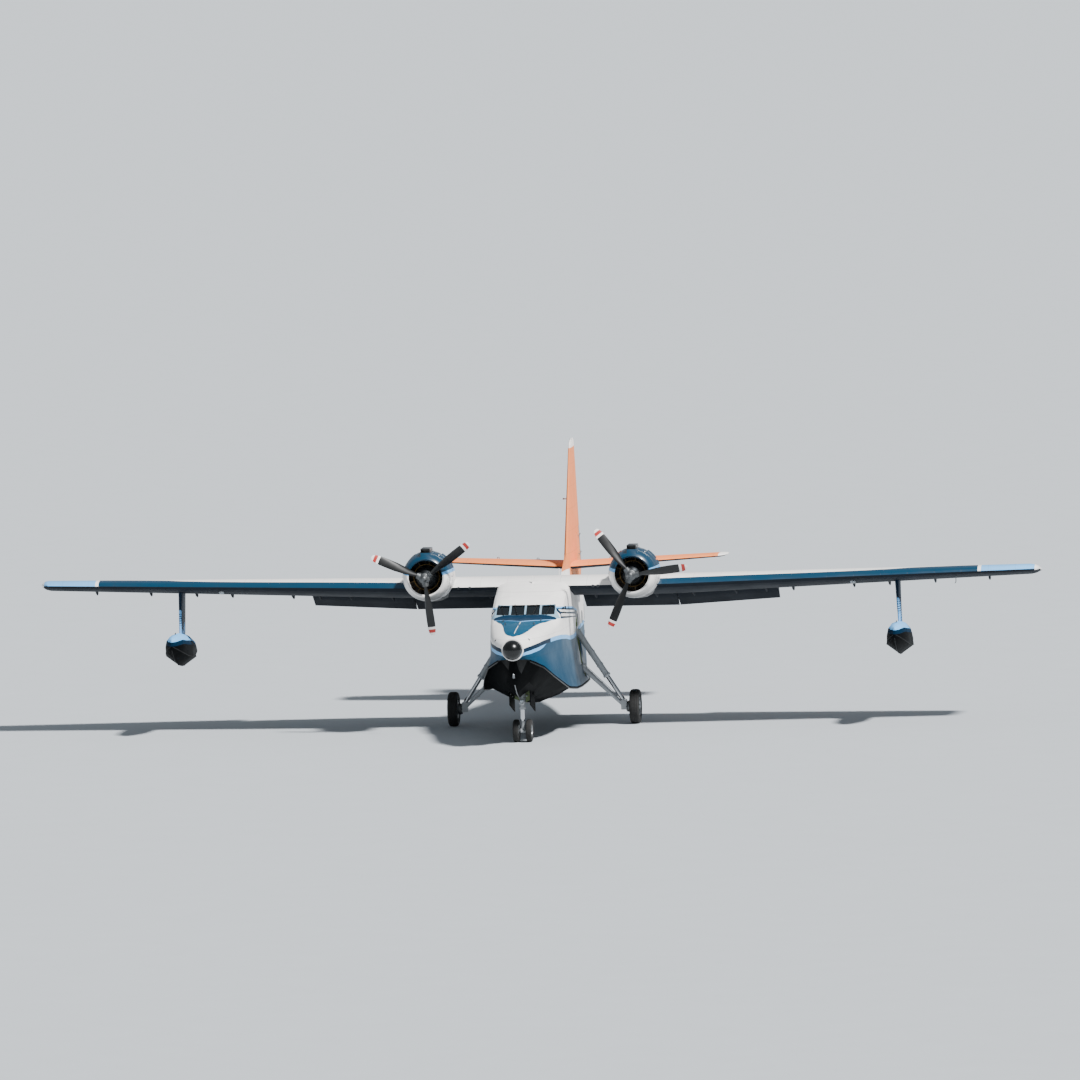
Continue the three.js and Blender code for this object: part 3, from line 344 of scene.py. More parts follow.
def bumped(tree, height, strength, distance):
    return addNode(tree, "Bump", {"Height": height, "Strength": strength, "Distance": distance})


def newMaterial(name):
    material = bpy.data.materials.new(name)
    material.use_nodes = True
    tree = material.node_tree
    tree.nodes.clear()
    return material, tree, (addNode(tree, "TexCoord"), "Object")


def noise(tree, place, scale, detail, roughness=0.5):
    return addNode(tree, "TexNoise",
                   {"Vector": place, "Scale": scale, "Detail": detail, "Roughness": roughness})


def finished(material, tree, inputs):
    shader = addNode(tree, "BsdfPrincipled", inputs)
    addNode(tree, "OutputMaterial", [shader])
    return material


def lineThrough(tree, value, points):  # a height that follows (value, height) points
    heights = [height for _, height in points]
    low, rise = min(heights), (max(heights) - min(heights)) or 1.0
    start, end = points[0][0], points[-1][0]
    line = addNode(tree, "FloatCurve", {"Value": addNode(tree, "MapRange", [value, start, end])})
    curve = line.mapping.curves[0]
    spots = [((v - start) / (end - start), (h - low) / rise) for v, h in points]
    curve.points[0].location = spots[0]
    curve.points[1].location = spots[-1]
    for spot in spots[1:-1]:
        curve.points.new(*spot)
    for spot in curve.points:
        spot.handle_type = "AUTO_CLAMPED"
    line.mapping.update()
    return maths(tree, "MULTIPLY_ADD", line, rise, low)


# Floor, light and camera

cameraView = {"azimuth": 6.45, "elevation": 4.0, "roll": 1.48, "distance": 350.0,
              "aim": spotAt(0.056, 7.676, 5.489), "width": 31.675}


def towards(azimuth, elevation):  # the way to a light or camera, in degrees round from the nose and up
    turn, rise = math.radians(azimuth), math.radians(elevation)
    return Vector((math.sin(turn) * math.cos(rise), -math.cos(turn) * math.cos(rise), math.sin(rise)))


def setUpCamera():
    back = towards(cameraView["azimuth"], cameraView["elevation"])
    data = bpy.data.cameras.new("camera")
    data.lens = data.sensor_width * cameraView["distance"] / cameraView["width"]
    data.clip_end = 4000
    camera = addObject("camera", data)
    camera.location = cameraView["aim"] + back * cameraView["distance"]
    turn = (-back).to_track_quat("-Z", "Y").to_matrix().to_4x4()
    camera.rotation_euler = (turn @ Matrix.Rotation(math.radians(-cameraView["roll"]), 4, "Z")).to_euler()
    bpy.context.scene.camera = camera


studio = {"floorColour": "#b9bec2", "floorRadius": 1000.0, "skyColour": "#dce6f0", "skyStrength": 0.42,
          "sunStrength": 7.4, "sunSoftness": 5.0, "sunAzimuth": 52.0, "sunHeight": 52.0}


def setUpStudio():
    floor = addShape("circle", "floor", vertices=128, radius=studio["floorRadius"], fill_type="NGON")
    applyPlace(floor)
    material, tree, place = newMaterial("mattPaintedFloor")
    shade = ranged(tree, noise(tree, place, 0.8, 3.0), 0.97, 1.03)
    colour = scaled(tree, studio["floorColour"], shade)
    floor.data.materials.append(finished(material, tree, {"Base Color": colour, "Roughness": 0.9}))

    world = bpy.data.worlds.new("softbox")
    bpy.context.scene.world = world
    world.use_nodes = True
    background = world.node_tree.nodes["Background"]
    background.inputs["Color"].default_value = linear(studio["skyColour"])
    background.inputs["Strength"].default_value = studio["skyStrength"]

    light = bpy.data.lights.new("key", "SUN")
    light.energy = studio["sunStrength"]
    light.angle = math.radians(studio["sunSoftness"])
    way = towards(studio["sunAzimuth"], studio["sunHeight"])
    addObject("key", light).rotation_euler = way.to_track_quat("Z", "Y").to_euler()


# Paints. A scheme gives the colour from the distance out from the middle, the station and the height

def enamel(name, paintScheme, panels=None, roughness=0.3, coat=0.25, grime=0.25, specular=0.5):
    # Polyurethane enamel sprayed on riveted aluminium sheet: a clean gloss with faint seams and fading
    material, tree, place = newMaterial(name)
    coords = addNode(tree, "SeparateXYZ", [place])
    out = maths(tree, "ABSOLUTE", (coords, "X"))
    s = maths(tree, "ADD", (coords, "Y"), halfLength)
    colour = paintScheme(tree, out, s, (coords, "Z"))
    fade = noise(tree, place, 0.9, 4.0, 0.6)
    fadeShare = addNode(tree, "MapRange", [fade, 0.35, 0.7, 1.0 + 0.12 * grime, 1.0 - 0.35 * grime])
    colour = scaled(tree, colour, fadeShare)
    gloss = addNode(tree, "MapRange", [fade, 0.3, 0.75, roughness - 0.05, roughness + 0.12])
    inputs = {"Roughness": gloss, "Coat Weight": coat, "Coat Roughness": 0.12,
              "Specular IOR Level": specular}
    if panels:  # a seam is a 9 mm dark line, wider than the real 2 mm so that it shows
        seam = 0.0
        for axis, spacing in panels.items():
            ping = maths(tree, "PINGPONG", (coords, axis), spacing / 2)
            line = addNode(tree, "MapRange", [ping, 0.0, 0.009, 1.0, 0.0])
            seam = maths(tree, "MAXIMUM", seam, line)
        colour = scaled(tree, colour, maths(tree, "MULTIPLY_ADD", seam, -0.28, 1.0))
        inputs["Normal"] = bumped(tree, maths(tree, "MULTIPLY_ADD", seam, -1.0, 1.0), 0.35, 0.004)
    return finished(material, tree, {"Base Color": colour, **inputs})


# Heights on the hull by station, from the nose to the tail
hullLines = {
    "cheatTop": [(0.42, 2.858), (0.61, 2.909), (0.97, 2.952), (1.83, 3.006), (2.42, 3.012), (3.4, 3.004),
                 (4.66, 2.933), (6.6, 2.80), (9, 2.80), (12, 2.87), (15.5, 3.12), (19.15, 3.5)],
    "stripe": 0.12, "navyEnds": 2.5,
    "paleLine": [(0, 0.09), (0.46, 0.09), (0.8, 0.10), (1.81, 0.03), (2.1, 0.0), (19, 0.0)],
    "black": [(0.42, 2.575), (0.495, 2.564), (0.707, 2.525), (1.088, 2.38), (1.69, 2.075), (2.1, 1.95),
              (2.95, 1.71), (4.46, 1.403), (5.3, 1.33), (6.8, 1.27), (9.4, 1.25), (9.6, 1.36), (11.5, 1.59),
              (13.4, 1.91), (15.3, 2.31), (15.8, 2.45), (17.33, 3.18), (19.15, 3.5)],
    "deckHalf": [(0.62, 0.0), (0.70, 0.09), (0.85, 0.20), (1.2, 0.31), (2.05, 0.45), (2.6, 0.56),
                 (3.0, 0.69), (3.4, 0.80), (3.8, 0.93), (4.1, 1.02)],
    "deckEnds": 3.79,
    "coaming": [(0.0, 2.71), (0.25, 2.88), (0.5, 3.05), (0.73, 3.36), (1.0, 3.7)],
    "sillHigh": 3.47, "roofEdge": 3.852, "postsEnd": 4.34,
    "cornerPost": [(3.4, 1.06), (3.46, 1.02), (3.80, 0.84)],
    "fieldTop": [(4.1, 3.80), (4.45, 3.77), (5.5, 3.69), (6.6, 3.60), (7.8, 3.46), (8.7, 3.36)],
    "fieldLow": [(4.06, 3.45), (5.9, 3.33), (6.6, 3.29), (8.7, 3.14)], "fieldFrom": 4.05, "fieldEnds": 8.7,
    "fieldEdge": 0.05,
}


def hullScheme(tree, out, s, z):
    lines = {name: lineThrough(tree, s, hullLines[name]) for name in
             ("cheatTop", "paleLine", "black", "deckHalf", "fieldTop", "fieldLow")}
    isUpper = above(tree, z, lines["cheatTop"])
    stripeLow = maths(tree, "SUBTRACT", lines["cheatTop"], hullLines["stripe"])
    paleLow = maths(tree, "SUBTRACT", stripeLow, lines["paleLine"])
    stripe = mixed(tree, above(tree, s, hullLines["navyEnds"]), "navy", "paleBlue")
    colour = mixed(tree, above(tree, z, paleLow), "sideBlue", "paleBlue")
    colour = mixed(tree, above(tree, z, stripeLow), colour, stripe)
    colour = mixed(tree, isUpper, colour, "white")
    colour = mixed(tree, below(tree, z, lines["black"]), colour, "black")

    # the blue bow deck, darker behind the coaming's moulding: painted shade on the steep fairing before the
    # windshield
    isDeck = both(tree, below(tree, out, lines["deckHalf"]), below(tree, s, hullLines["deckEnds"]), isUpper)
    isCoamingShade = above(tree, s, lineThrough(tree, out, hullLines["coaming"]))
    colour = mixed(tree, isDeck, colour, mixed(tree, isCoamingShade, "deckBlue", "windowBlue"))

    # the dark field round the side windows, with a pale upper edge
    isField = both(tree, above(tree, z, lines["fieldLow"]), below(tree, z, lines["fieldTop"]),
                   above(tree, s, hullLines["fieldFrom"]), below(tree, s, hullLines["fieldEnds"]))
    edge = maths(tree, "SUBTRACT", lines["fieldTop"], hullLines["fieldEdge"])
    colour = mixed(tree, isField, colour, mixed(tree, above(tree, z, edge), "windowBlue", "paleBlue"))

    # the windshield's frame
    isFront = below(tree, out, lineThrough(tree, z, hullLines["cornerPost"]))
    isFrame = both(tree, below(tree, s, hullLines["postsEnd"]), above(tree, s, hullLines["deckEnds"]),
                   above(tree, z, hullLines["sillHigh"]), below(tree, z, hullLines["roofEdge"]), isFront)
    return mixed(tree, isFrame, colour, "post")


# The wing's paint follows its chord; distances out are from the middle
wingLines = {"centreHalf": 3.9, "leading": 6.1, "sweep": 0.9 / 10.58, "chord": 4.15, "taper": -2.25 / 10.58,
             "blueFrom": 3.62, "blueDepth": [(3.6, 0.045), (6.0, 0.055), (8.6, 0.064), (10.0, 0.078),
                                             (11.2, 0.14), (14.73, 0.2)],
             "tip": [(12.95, "white"), (13.05, "paleBlue"), (14.6, "white")]}


def wingScheme(tree, out, s, z):
    past = maths(tree, "MAXIMUM", maths(tree, "SUBTRACT", out, wingLines["centreHalf"]), 0.0)
    leading = maths(tree, "MULTIPLY_ADD", past, wingLines["sweep"], wingLines["leading"])
    chord = maths(tree, "MULTIPLY_ADD", past, wingLines["taper"], wingLines["chord"])
    share = maths(tree, "DIVIDE", maths(tree, "SUBTRACT", s, leading), chord)
    isFront = below(tree, share, lineThrough(tree, out, wingLines["blueDepth"]))
    colour = "white"
    for start, name in [(wingLines["blueFrom"], "blue")] + wingLines["tip"]:
        colour = mixed(tree, both(tree, isFront, above(tree, out, start)), colour, name)
    return colour


tailLines = {"dorsalEnds": 15.05, "dorsalTop": 4.1, "finCap": 7.62, "stabCap": 4.48,
             "tab": {"low": 4.05, "high": 5.15, "from": 3.95, "foot": 18.85, "slope": -1.0 / 3.0,
                     "edge": 0.045}}


def tailScheme(tree, out, s, z):
    tab = tailLines["tab"]
    isDorsal = both(tree, below(tree, s, tailLines["dorsalEnds"]), below(tree, z, tailLines["dorsalTop"]))
    isTip = maths(tree, "MAXIMUM", above(tree, z, tailLines["finCap"]),
                  above(tree, out, tailLines["stabCap"]))
    colour = mixed(tree, maths(tree, "MAXIMUM", isTip, isDorsal), "orange", "white")
    rise = maths(tree, "SUBTRACT", z, tab["from"])
    isSpan = both(tree, above(tree, z, tab["low"]), below(tree, z, tab["high"]))
    for edge, name in ((0.0, "white"), (tab["edge"], "tabBlue")):
        front = maths(tree, "MULTIPLY_ADD", rise, tab["slope"], tab["foot"] + edge)
        colour = mixed(tree, both(tree, isSpan, above(tree, s, front)), colour, name)
    return colour


cowlLines = {"out": 3.02, "height": 4.635, "breakRise": 0.25, "breakDrop": 0.06, "chip": 0.1,
             "scoopHalf": 0.14, "scoopLow": 0.725}


def cowlScheme(tree, out, s, z):
    across = maths(tree, "ABSOLUTE", maths(tree, "SUBTRACT", out, cowlLines["out"]))
    height = maths(tree, "SUBTRACT", z, cowlLines["height"])
    line = maths(tree, "MULTIPLY_ADD", across, cowlLines["breakRise"], -cowlLines["breakDrop"])
    # white below the break, then a pale-blue band that is a painted highlight, then blue above
    colour = mixed(tree, above(tree, height, line), "white", "paleBlue")
    chip = maths(tree, "ADD", line, cowlLines["chip"])
    colour = mixed(tree, above(tree, height, chip), colour, "blue")
    isScoop = both(tree, below(tree, across, cowlLines["scoopHalf"]),
                   above(tree, height, cowlLines["scoopLow"]))
    return shadeBelow(tree, s, z, mixed(tree, isScoop, colour, "black"), "cowl")


# Painted shade darkens the bottom of each cowl behind its lip, and of each nacelle
paintedShadeLines = {"cowl": [(3.88, 0.08), (3.95, 0.22), (4.04, 0.5), (4.2, 0.8), (4.4, 1.0)],
            "nacelle": [(3.95, 0.10), (4.15, 0.22), (4.45, 0.65), (4.75, 1.0)], "lip": (4.92, 4.95)}


def shadeBelow(tree, s, z, colour, part):
    isLip = addNode(tree, "MapRange", [s, *paintedShadeLines["lip"], 1.0, 0.0])
    return scaled(tree, colour, maths(tree, "MAXIMUM", lineThrough(tree, z, paintedShadeLines[part]), isLip))


def nacelleScheme(tree, out, s, z):
    # white, darkened towards the bottom by painted shade
    return shadeBelow(tree, s, z, "white", "nacelle")


floatLines = {"deck": [(5.35, 2.84), (5.95, 2.86), (6.6, 2.80), (7.4, 2.73), (8.8, 2.52), (9.7, 2.42)],
              "navy": 0.12}


def floatScheme(tree, out, s, z):
    deck = lineThrough(tree, s, floatLines["deck"])
    isNavy = above(tree, z, maths(tree, "SUBTRACT", deck, floatLines["navy"]))
    return mixed(tree, above(tree, z, deck), mixed(tree, isNavy, "black", "navy"), "paleBlue")


strutLines = {"inner": 10.565, "lean": -0.03, "foot": 2.85, "top": 3.66, "front": 7.09, "slope": -0.55,
              "stepsLow": 3.20, "stepsHigh": 3.54, "stepPitch": 0.068, "stepHalf": 0.012}


def strutScheme(tree, out, s, z):  # navy, with a pale field low on the outer face that dark steps cross; the navy above the field's slanting top is painted shadow of the wing, and the steps are painted shade in their toe holes
    rise = maths(tree, "SUBTRACT", z, strutLines["foot"])
    edge = maths(tree, "MULTIPLY_ADD", rise, strutLines["lean"], strutLines["inner"])
    back = maths(tree, "SUBTRACT", s, strutLines["front"])
    # the slanting line where the wing's painted shadow begins
    wingShadowEdge = maths(tree, "MULTIPLY_ADD", back, strutLines["slope"], strutLines["top"])
    colour = mixed(tree, both(tree, above(tree, out, edge), below(tree, z, wingShadowEdge)), "navy", "paleBlue")
    ping = maths(tree, "PINGPONG", z, strutLines["stepPitch"] / 2)
    isStep = both(tree, above(tree, z, strutLines["stepsLow"]), below(tree, z, strutLines["stepsHigh"]),
                  below(tree, ping, strutLines["stepHalf"]))
    return mixed(tree, isStep, colour, "navy")


# The propellers' shafts stand at the cowls' middles; tip bands start at these radii
bladeBands = [(1.43, "white"), (1.50, "red"), (1.60, "white")]


def bladeScheme(tree, out, s, z):
    across = maths(tree, "SUBTRACT", out, cowlLines["out"])
    height = maths(tree, "SUBTRACT", z, cowlLines["height"])
    square = maths(tree, "MULTIPLY_ADD", across, across, maths(tree, "MULTIPLY", height, height))
    radius = maths(tree, "POWER", square, 0.5)
    colour = "black"
    for start, name in bladeBands:
        colour = mixed(tree, above(tree, radius, start), colour, name)
    return colour


def plain(name):
    return lambda tree, out, s, z: name


def makePaints():
    return {
        "hull": enamel("hullEnamel", hullScheme, {"Y": 0.95, "Z": 0.52}, 0.38, coat=0.0, specular=0.2),
        "wing": enamel("wingEnamel", wingScheme, {"X": 0.78, "Y": 1.04}),
        "tail": enamel("tailEnamel", tailScheme, {"X": 0.62, "Z": 0.65}, 0.55, coat=0.0, specular=0.25),
        "cowl": enamel("cowlEnamel", cowlScheme, {"Y": 0.45}),
        "nacelle": enamel("nacelleEnamel", nacelleScheme, {"Y": 0.8}, 0.45, coat=0.0, specular=0.2),
        "float": enamel("floatEnamel", floatScheme, {"Y": 0.8}, 0.6, coat=0.0, specular=0.06),
        "strut": enamel("strutEnamel", strutScheme, roughness=0.5, coat=0.0, specular=0.15),
        "blade": enamel("bladeEnamel", bladeScheme, roughness=0.35, coat=0.1, grime=0.1),
        "white": enamel("whiteEnamel", plain("white"), {"Y": 0.8}),
        "paleBlue": enamel("paleBlueEnamel", plain("paleBlue")),
        "red": enamel("redEnamel", plain("red")),
        "black": enamel("blackEnamel", plain("black"), coat=0.1, grime=0.05),
        # the dark slate underside is painted shade, for faces that look down and for parts that hang under
        # the wings and nacelles
        "under": enamel("undersideShadeEnamel", plain("slate"), {"X": 0.78, "Y": 1.04}, 0.65, coat=0.0,
                        specular=0.12),
        "bottom": enamel("bottomEnamel", plain("black"), {"Y": 0.95}, 0.6, coat=0.0, specular=0.04),
        "slate": enamel("slateEnamel", plain("slate")),
        "gearEnamel": enamel("gearEnamel", plain("gear"), roughness=0.35),
    }


def bareMetal(name, code, roughness):
    # Machined or cast metal, lightly oiled: broad soft highlights broken by fine tool marks
    material, tree, place = newMaterial(name)
    marks = noise(tree, place, 40.0, 5.0)
    return finished(material, tree, {
        "Base Color": scaled(tree, code, ranged(tree, marks, 0.8, 1.15)), "Metallic": 1.0,
        "Roughness": ranged(tree, marks, roughness - 0.1, roughness + 0.15),
        "Normal": bumped(tree, marks, 0.15, 0.002)})


def rubber(name, dark, pale, scale):
    # Vulcanised rubber: dull black with grey scuffs
    material, tree, place = newMaterial(name)
    scuff = noise(tree, place, scale, 6.0)
    return finished(material, tree, {"Base Color": mixed(tree, scuff, dark, pale), "Roughness": 0.85,
                                     "Normal": bumped(tree, scuff, 0.3, 0.002)})


def clear(name, code, transmission, roughness):
    # Cast acrylic or lamp glass: smooth and see-through, with a sharp highlight
    material, tree, place = newMaterial(name)
    gloss = ranged(tree, noise(tree, place, 6.0, 2.0), roughness, roughness + 0.05)
    return finished(material, tree, {"Base Color": code, "Roughness": gloss,
                                     "Transmission Weight": transmission, "IOR": 1.49})


interiorLines = {"cockpitEnds": 5.35, "cockpitLow": 2.3, "cabinFrom": 9.6, "ribPitch": 0.38}


def primer():
    # Zinc chromate primer in the wells, vinyl paint in the cockpit and cabin: matt, with brush marks
    material, tree, place = newMaterial("interiorPrimer")
    coords = addNode(tree, "SeparateXYZ", [place])
    s = maths(tree, "ADD", (coords, "Y"), halfLength)
    isCockpit = both(tree, below(tree, s, interiorLines["cockpitEnds"]),
                     above(tree, (coords, "Z"), interiorLines["cockpitLow"]))
    colour = mixed(tree, isCockpit, "primer", "cockpit")
    colour = mixed(tree, above(tree, s, interiorLines["cabinFrom"]), colour, "cabin")
    colour = scaled(tree, colour, ranged(tree, noise(tree, place, 9.0, 5.0), 0.82, 1.1))
    rib = maths(tree, "PINGPONG", (coords, "Y"), interiorLines["ribPitch"] / 2)
    height = addNode(tree, "MapRange", [rib, 0.0, 0.02, 1.0, 0.0])
    return finished(material, tree, {"Base Color": colour, "Roughness": 0.75,
                                     "Normal": bumped(tree, height, 0.5, 0.01)})


def woven(name, dark, pale):
    # Woven wool and nylon cloth: dull, with 4 mm threads drawn coarser than the real 1 mm so that they show
    material, tree, place = newMaterial(name)
    coords = addNode(tree, "SeparateXYZ", [place])
    x, y, z = (maths(tree, "SINE", maths(tree, "MULTIPLY", (coords, axis), 1570.0)) for axis in "XYZ")
    weave = maths(tree, "MULTIPLY", x, maths(tree, "ADD", y, z))
    share = addNode(tree, "MapRange", [weave, -2.0, 2.0])
    return finished(material, tree, {"Base Color": mixed(tree, share, dark, pale), "Roughness": 0.9,
                                     "Normal": bumped(tree, share, 0.4, 0.001), "Sheen Weight": 0.3})


print("camera and studio")
setUpCamera()
setUpStudio()
looks = {
    **makePaints(),
    "steel": bareMetal("machinedSteel", "#9a9c9e", 0.35),
    "chrome": bareMetal("hardChrome", "#c9cbcd", 0.12),
    "cast": bareMetal("castAluminium", "#6f7172", 0.5),
    "sooted": bareMetal("sootedSteel", "#3c3a38", 0.6),
    "alloy": bareMetal("forgedAlloyWheel", "#a9abad", 0.4),
    "brass": bareMetal("tarnishedBrass", "#6e5a38", 0.45),
    "caseGrey": bareMetal("greyCrankcase", "#3c3f42", 0.5),
    "burnt": bareMetal("heatTintedSteel", "#5b4a3d", 0.5),
    "tyreRubber": rubber("tyreRubber", "#141414", "#2c2b2a", 22.0),
    "sealRubber": rubber("sealRubber", "#0c0d0e", "#1d1e1f", 60.0),
    "glazing": clear("acrylicGlazing", "#36424a", 0.85, 0.02),
    # nearly opaque dark panes over the unbroken skin: painted shade of the cabin behind the portholes
    "smokedGlass": clear("darkCabinAcrylic", "#10161b", 0.15, 0.04),
    "lampGlass": clear("lampGlass", "#e8eef2", 0.8, 0.02),
    "lampRed": clear("lampRedGlass", "#c2251c", 0.5, 0.05),
    "lampGreen": clear("lampGreenGlass", "#1f9a4a", 0.5, 0.05),
    "interior": primer(),
    "seatCloth": woven("seatCloth", "#2b3138", "#4a525a"),
    "strapWeb": woven("nylonStrap", "#5b5a4c", "#7c7a68"),
}

# Skins: smooth copies of the frame's own shapes


def pairOf(name):
    return [name + "_left", name + "_right"]


skins = {
    "hull": {"nodes": ["bow_hull", "cabin_hull", "tail_hull", "cabin_door"], "slot": "hull_paint",
             "look": "hull"},
    "wing": {"nodes": ["wing_centre"] + pairOf("wing") + pairOf("aileron"), "slot": "white_paint",
             "look": "wing"},
    # the drooped flaps take the painted shade of the undersides all over
    "flap": {"nodes": pairOf("flap_inner") + pairOf("flap_outer"), "slot": "hull_paint", "look": "under"},
    "tail": {"nodes": ["fin", "rudder", "stabilizer"] + pairOf("elevator"), "slot": "orange_paint",
             "look": "tail"},
    "cowl": {"nodes": pairOf("cowling"), "slot": "hull_paint", "look": "cowl"},
    "nacelle": {"nodes": pairOf("nacelle"), "slot": "white_paint", "look": "nacelle"},
    "float": {"nodes": pairOf("float"), "slot": "pale_blue_paint", "look": "float"},
    "strut": {"nodes": pairOf("float_strut"), "slot": "hull_paint", "look": "strut"},
    "radome": {"nodes": ["nose_radome"], "slot": "black_paint", "look": "black"},
    "noseDoor": {"nodes": pairOf("nose_gear_door"), "slot": "hull_paint", "look": "bottom"},
}
# Faces that look further down than this take the dark underside colour, which is painted shade, and the pale
# tips less readily
shadedUndersides = {"wing": -0.05, "tail": -0.3}
tipCut, tipUnder = 12.95, -0.35


def smoothCopy(node):
    piece = addObject(node + "_skin", frame["nodes"][node].data.copy())
    pickAll(piece)
    bpy.ops.mesh.remove_doubles(threshold=0.0002)
    bpy.ops.mesh.dissolve_limited(angle_limit=math.radians(0.5))
    smooth(piece, 30)
    return piece


def treeOf(mesh):
    return BVHTree.FromPolygons([v.co for v in mesh.vertices], [p.vertices for p in mesh.polygons])


def isBottom(spot):
    return spot.z <= between(hullLines["black"], spot.y + halfLength) + 0.04


hullShells = [treeOf(frame["nodes"][node].data) for node in skins["hull"]["nodes"] + ["cockpit_glass"]]


def lineInside(piece):  # faces that look at the hull again get the primer, and the planing bottom its black
    piece.data.materials.append(looks["interior"])
    piece.data.materials.append(looks["bottom"])
    for face in piece.data.polygons:
        start = face.center + face.normal * 0.002
        if any(shell.ray_cast(start, face.normal, 4.0)[0] for shell in hullShells):
            face.material_index = 1
        elif all(isBottom(piece.data.vertices[v].co) for v in face.vertices):
            face.material_index = 2


def paintShadeUnder(piece, limit):
    # faces that look down take the dark slate: painted shade
    piece.data.materials.append(looks["under"])
    for side in (1, -1):
        pickAll(piece)
        bpy.ops.mesh.bisect(plane_co=(side * tipCut, 0, 0), plane_no=(1, 0, 0))
    bpy.ops.object.mode_set(mode="OBJECT")
    for face in piece.data.polygons:
        atTip = abs(face.center.x) > tipCut and face.normal.z > tipUnder
        if face.normal.z < limit and not atTip:
            face.material_index = 1


made = {}
for kind, row in skins.items():
    for node in row["nodes"]:
        skin = smoothCopy(node)
        skin.data.materials.clear()
        skin.data.materials.append(looks[row["look"]])
        if kind == "hull":
            lineInside(skin)
        if kind in shadedUndersides:
            paintShadeUnder(skin, shadedUndersides[kind])
        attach(skin, bodyOf(node))
        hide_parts(node)
        made[node] = skin
shells = {node: treeOf(skin.data) for node, skin in made.items()}
shells["cockpit_glass"] = treeOf(frame["nodes"]["cockpit_glass"].data)
print("skins")


def probe(nodes, start, way):  # the first point on these shells from a start point, and the way it faces
    hits = [shells[node].ray_cast(Vector(start), Vector(way)) for node in nodes]
    hits = [hit for hit in hits if hit[0]]
    if not hits:
        raise ValueError(f"nothing at {start}")
    return min(hits, key=lambda hit: hit[3])[:2]


# Hull details

hullNodes = ["bow_hull", "cabin_hull", "tail_hull"]
glassInset = 0.05  # how far the panes lie inside the hull's skin
glassBox = {"from": 4.36, "to": 5.16, "low": 3.42, "high": 3.86}


def onSide(side, s, z, lift=0.0):  # a point on the hull's flank, or level with it over a window
    flank = (spotAt(side * 3.0, s, z), Vector((-side, 0, 0)))
    overGlass = glassBox["from"] < s < glassBox["to"] and glassBox["low"] < z < glassBox["high"]
    point, normal = probe(["cockpit_glass"] if overGlass else hullNodes, *flank)
    return point + normal * (lift + glassInset * overGlass), normal


def onDeck(x, s, lift=0.0):
    point, normal = probe(hullNodes, spotAt(x, s, 6.0), (0, 0, -1))
    return point + normal * lift, normal


def onWindshield(x, z, lift=0.0):
    point, normal = probe(["cockpit_glass"], spotAt(x, 2.5, z), (0, 1, 0))
    return point + normal * (glassInset + lift), normal


bowTrim = {"collarAt": 0.402, "collarRadius": 0.322, "mouldingRadius": 0.012, "ridge": (0.95, 3.3),
           "ridgeRadius": 0.011, "ridgeShares": [(0.0, 0.42), (0.55, 0.72)], "mouldingHalf": 0.86,
           "vents": [(-0.55, 0.97), (0.444, 0.766)], "ventRadius": 0.034,
           "moulding": [(0.0, 2.71), (0.25, 2.88), (0.5, 3.05), (0.73, 3.36), (0.86, 3.56)]}


def makeBowTrim():
    r, s = bowTrim["collarRadius"], bowTrim["collarAt"]
    ring = [(r - 0.036, 0), (r - 0.006, 0.004), (r, 0.02), (r, 0.05), (r - 0.008, 0.068), (r - 0.036, 0.068),
            (r - 0.036, 0)]
    collar = turned("radomeCollar", ring, spotAt(0, s, 2.845), (0, 1, 0), 48)
    dress(collar, "bow_hull", "white")

    # a moulding along the coaming's step; its pale blue is a painted highlight
    line = bowTrim["moulding"]
    across = [n / 20 * bowTrim["mouldingHalf"] for n in range(-20, 21)]
    points = [onDeck(x, between(line, abs(x)), 0.004)[0] for x in across]
    moulding = tube("coamingHighlightMoulding", points, bowTrim["mouldingRadius"])
    dress(moulding, "bow_hull", "paleBlue", 60)

    start, end = bowTrim["ridge"]
    ridges = []
    for low, high in bowTrim["ridgeShares"]:
        shares = [low + (high - low) * n / 12 for n in range(13)]
        points = [onDeck(0.0, start + (end - start) * share, 0.002)[0] for share in shares]
        ridges.append(tube(f"deckRidge{low}", points, bowTrim["ridgeRadius"]))
    dress(joined(ridges, "deckRidge"), "bow_hull", "white", 60)

    vents, r = [], bowTrim["ventRadius"]
    dome = [(0, 0.022), (0.45, 0.02), (0.8, 0.014), (1.0, 0.004), (1.15, 0.002), (1.15, 0.0), (0, 0.0)]
    for n, (x, s) in enumerate(bowTrim["vents"]):
        point, normal = onDeck(x, s, -0.004)
        vents.append(turned(f"bowVent{n}", [(radius * r, lift) for radius, lift in dome], point, normal, 20))
    dress(joined(vents, "bowVents"), "bow_hull", "slate", 40)


# Panes as the face they lie in, distance out or station from and to, and height from and to
paneEdges = {"panes": [("front", (0.025, 0.415), (3.585, 3.855)), ("front", (0.47, 0.85), (3.585, 3.84)),
                       ("side", (4.44, 4.77), (3.45, 3.74)), ("side", (4.83, 5.12), (3.45, 3.74))],
             "corner": 0.035, "sealRadius": 0.016, "sealLift": -0.04, "wiperRadius": 0.006,
             "wipers": [((0.22, 3.565), (0.32, 3.80)), ((0.62, 3.555), (0.70, 3.78))]}


def roundedLoop(low, high, corner, steps=3):
    (u0, u1), (v0, v1) = low, high
    u0, u1, v0, v1 = u0 + corner, u1 - corner, v0 + corner, v1 - corner
    loop = []
    for u, v, turn in ((u1, v1, 0), (u0, v1, 90), (u0, v0, 180), (u1, v0, 270)):
        for n in range(steps + 1):
            angle = math.radians(turn + 90 * n / steps)
            loop.append((u + corner * math.cos(angle), v + corner * math.sin(angle)))
    return loop


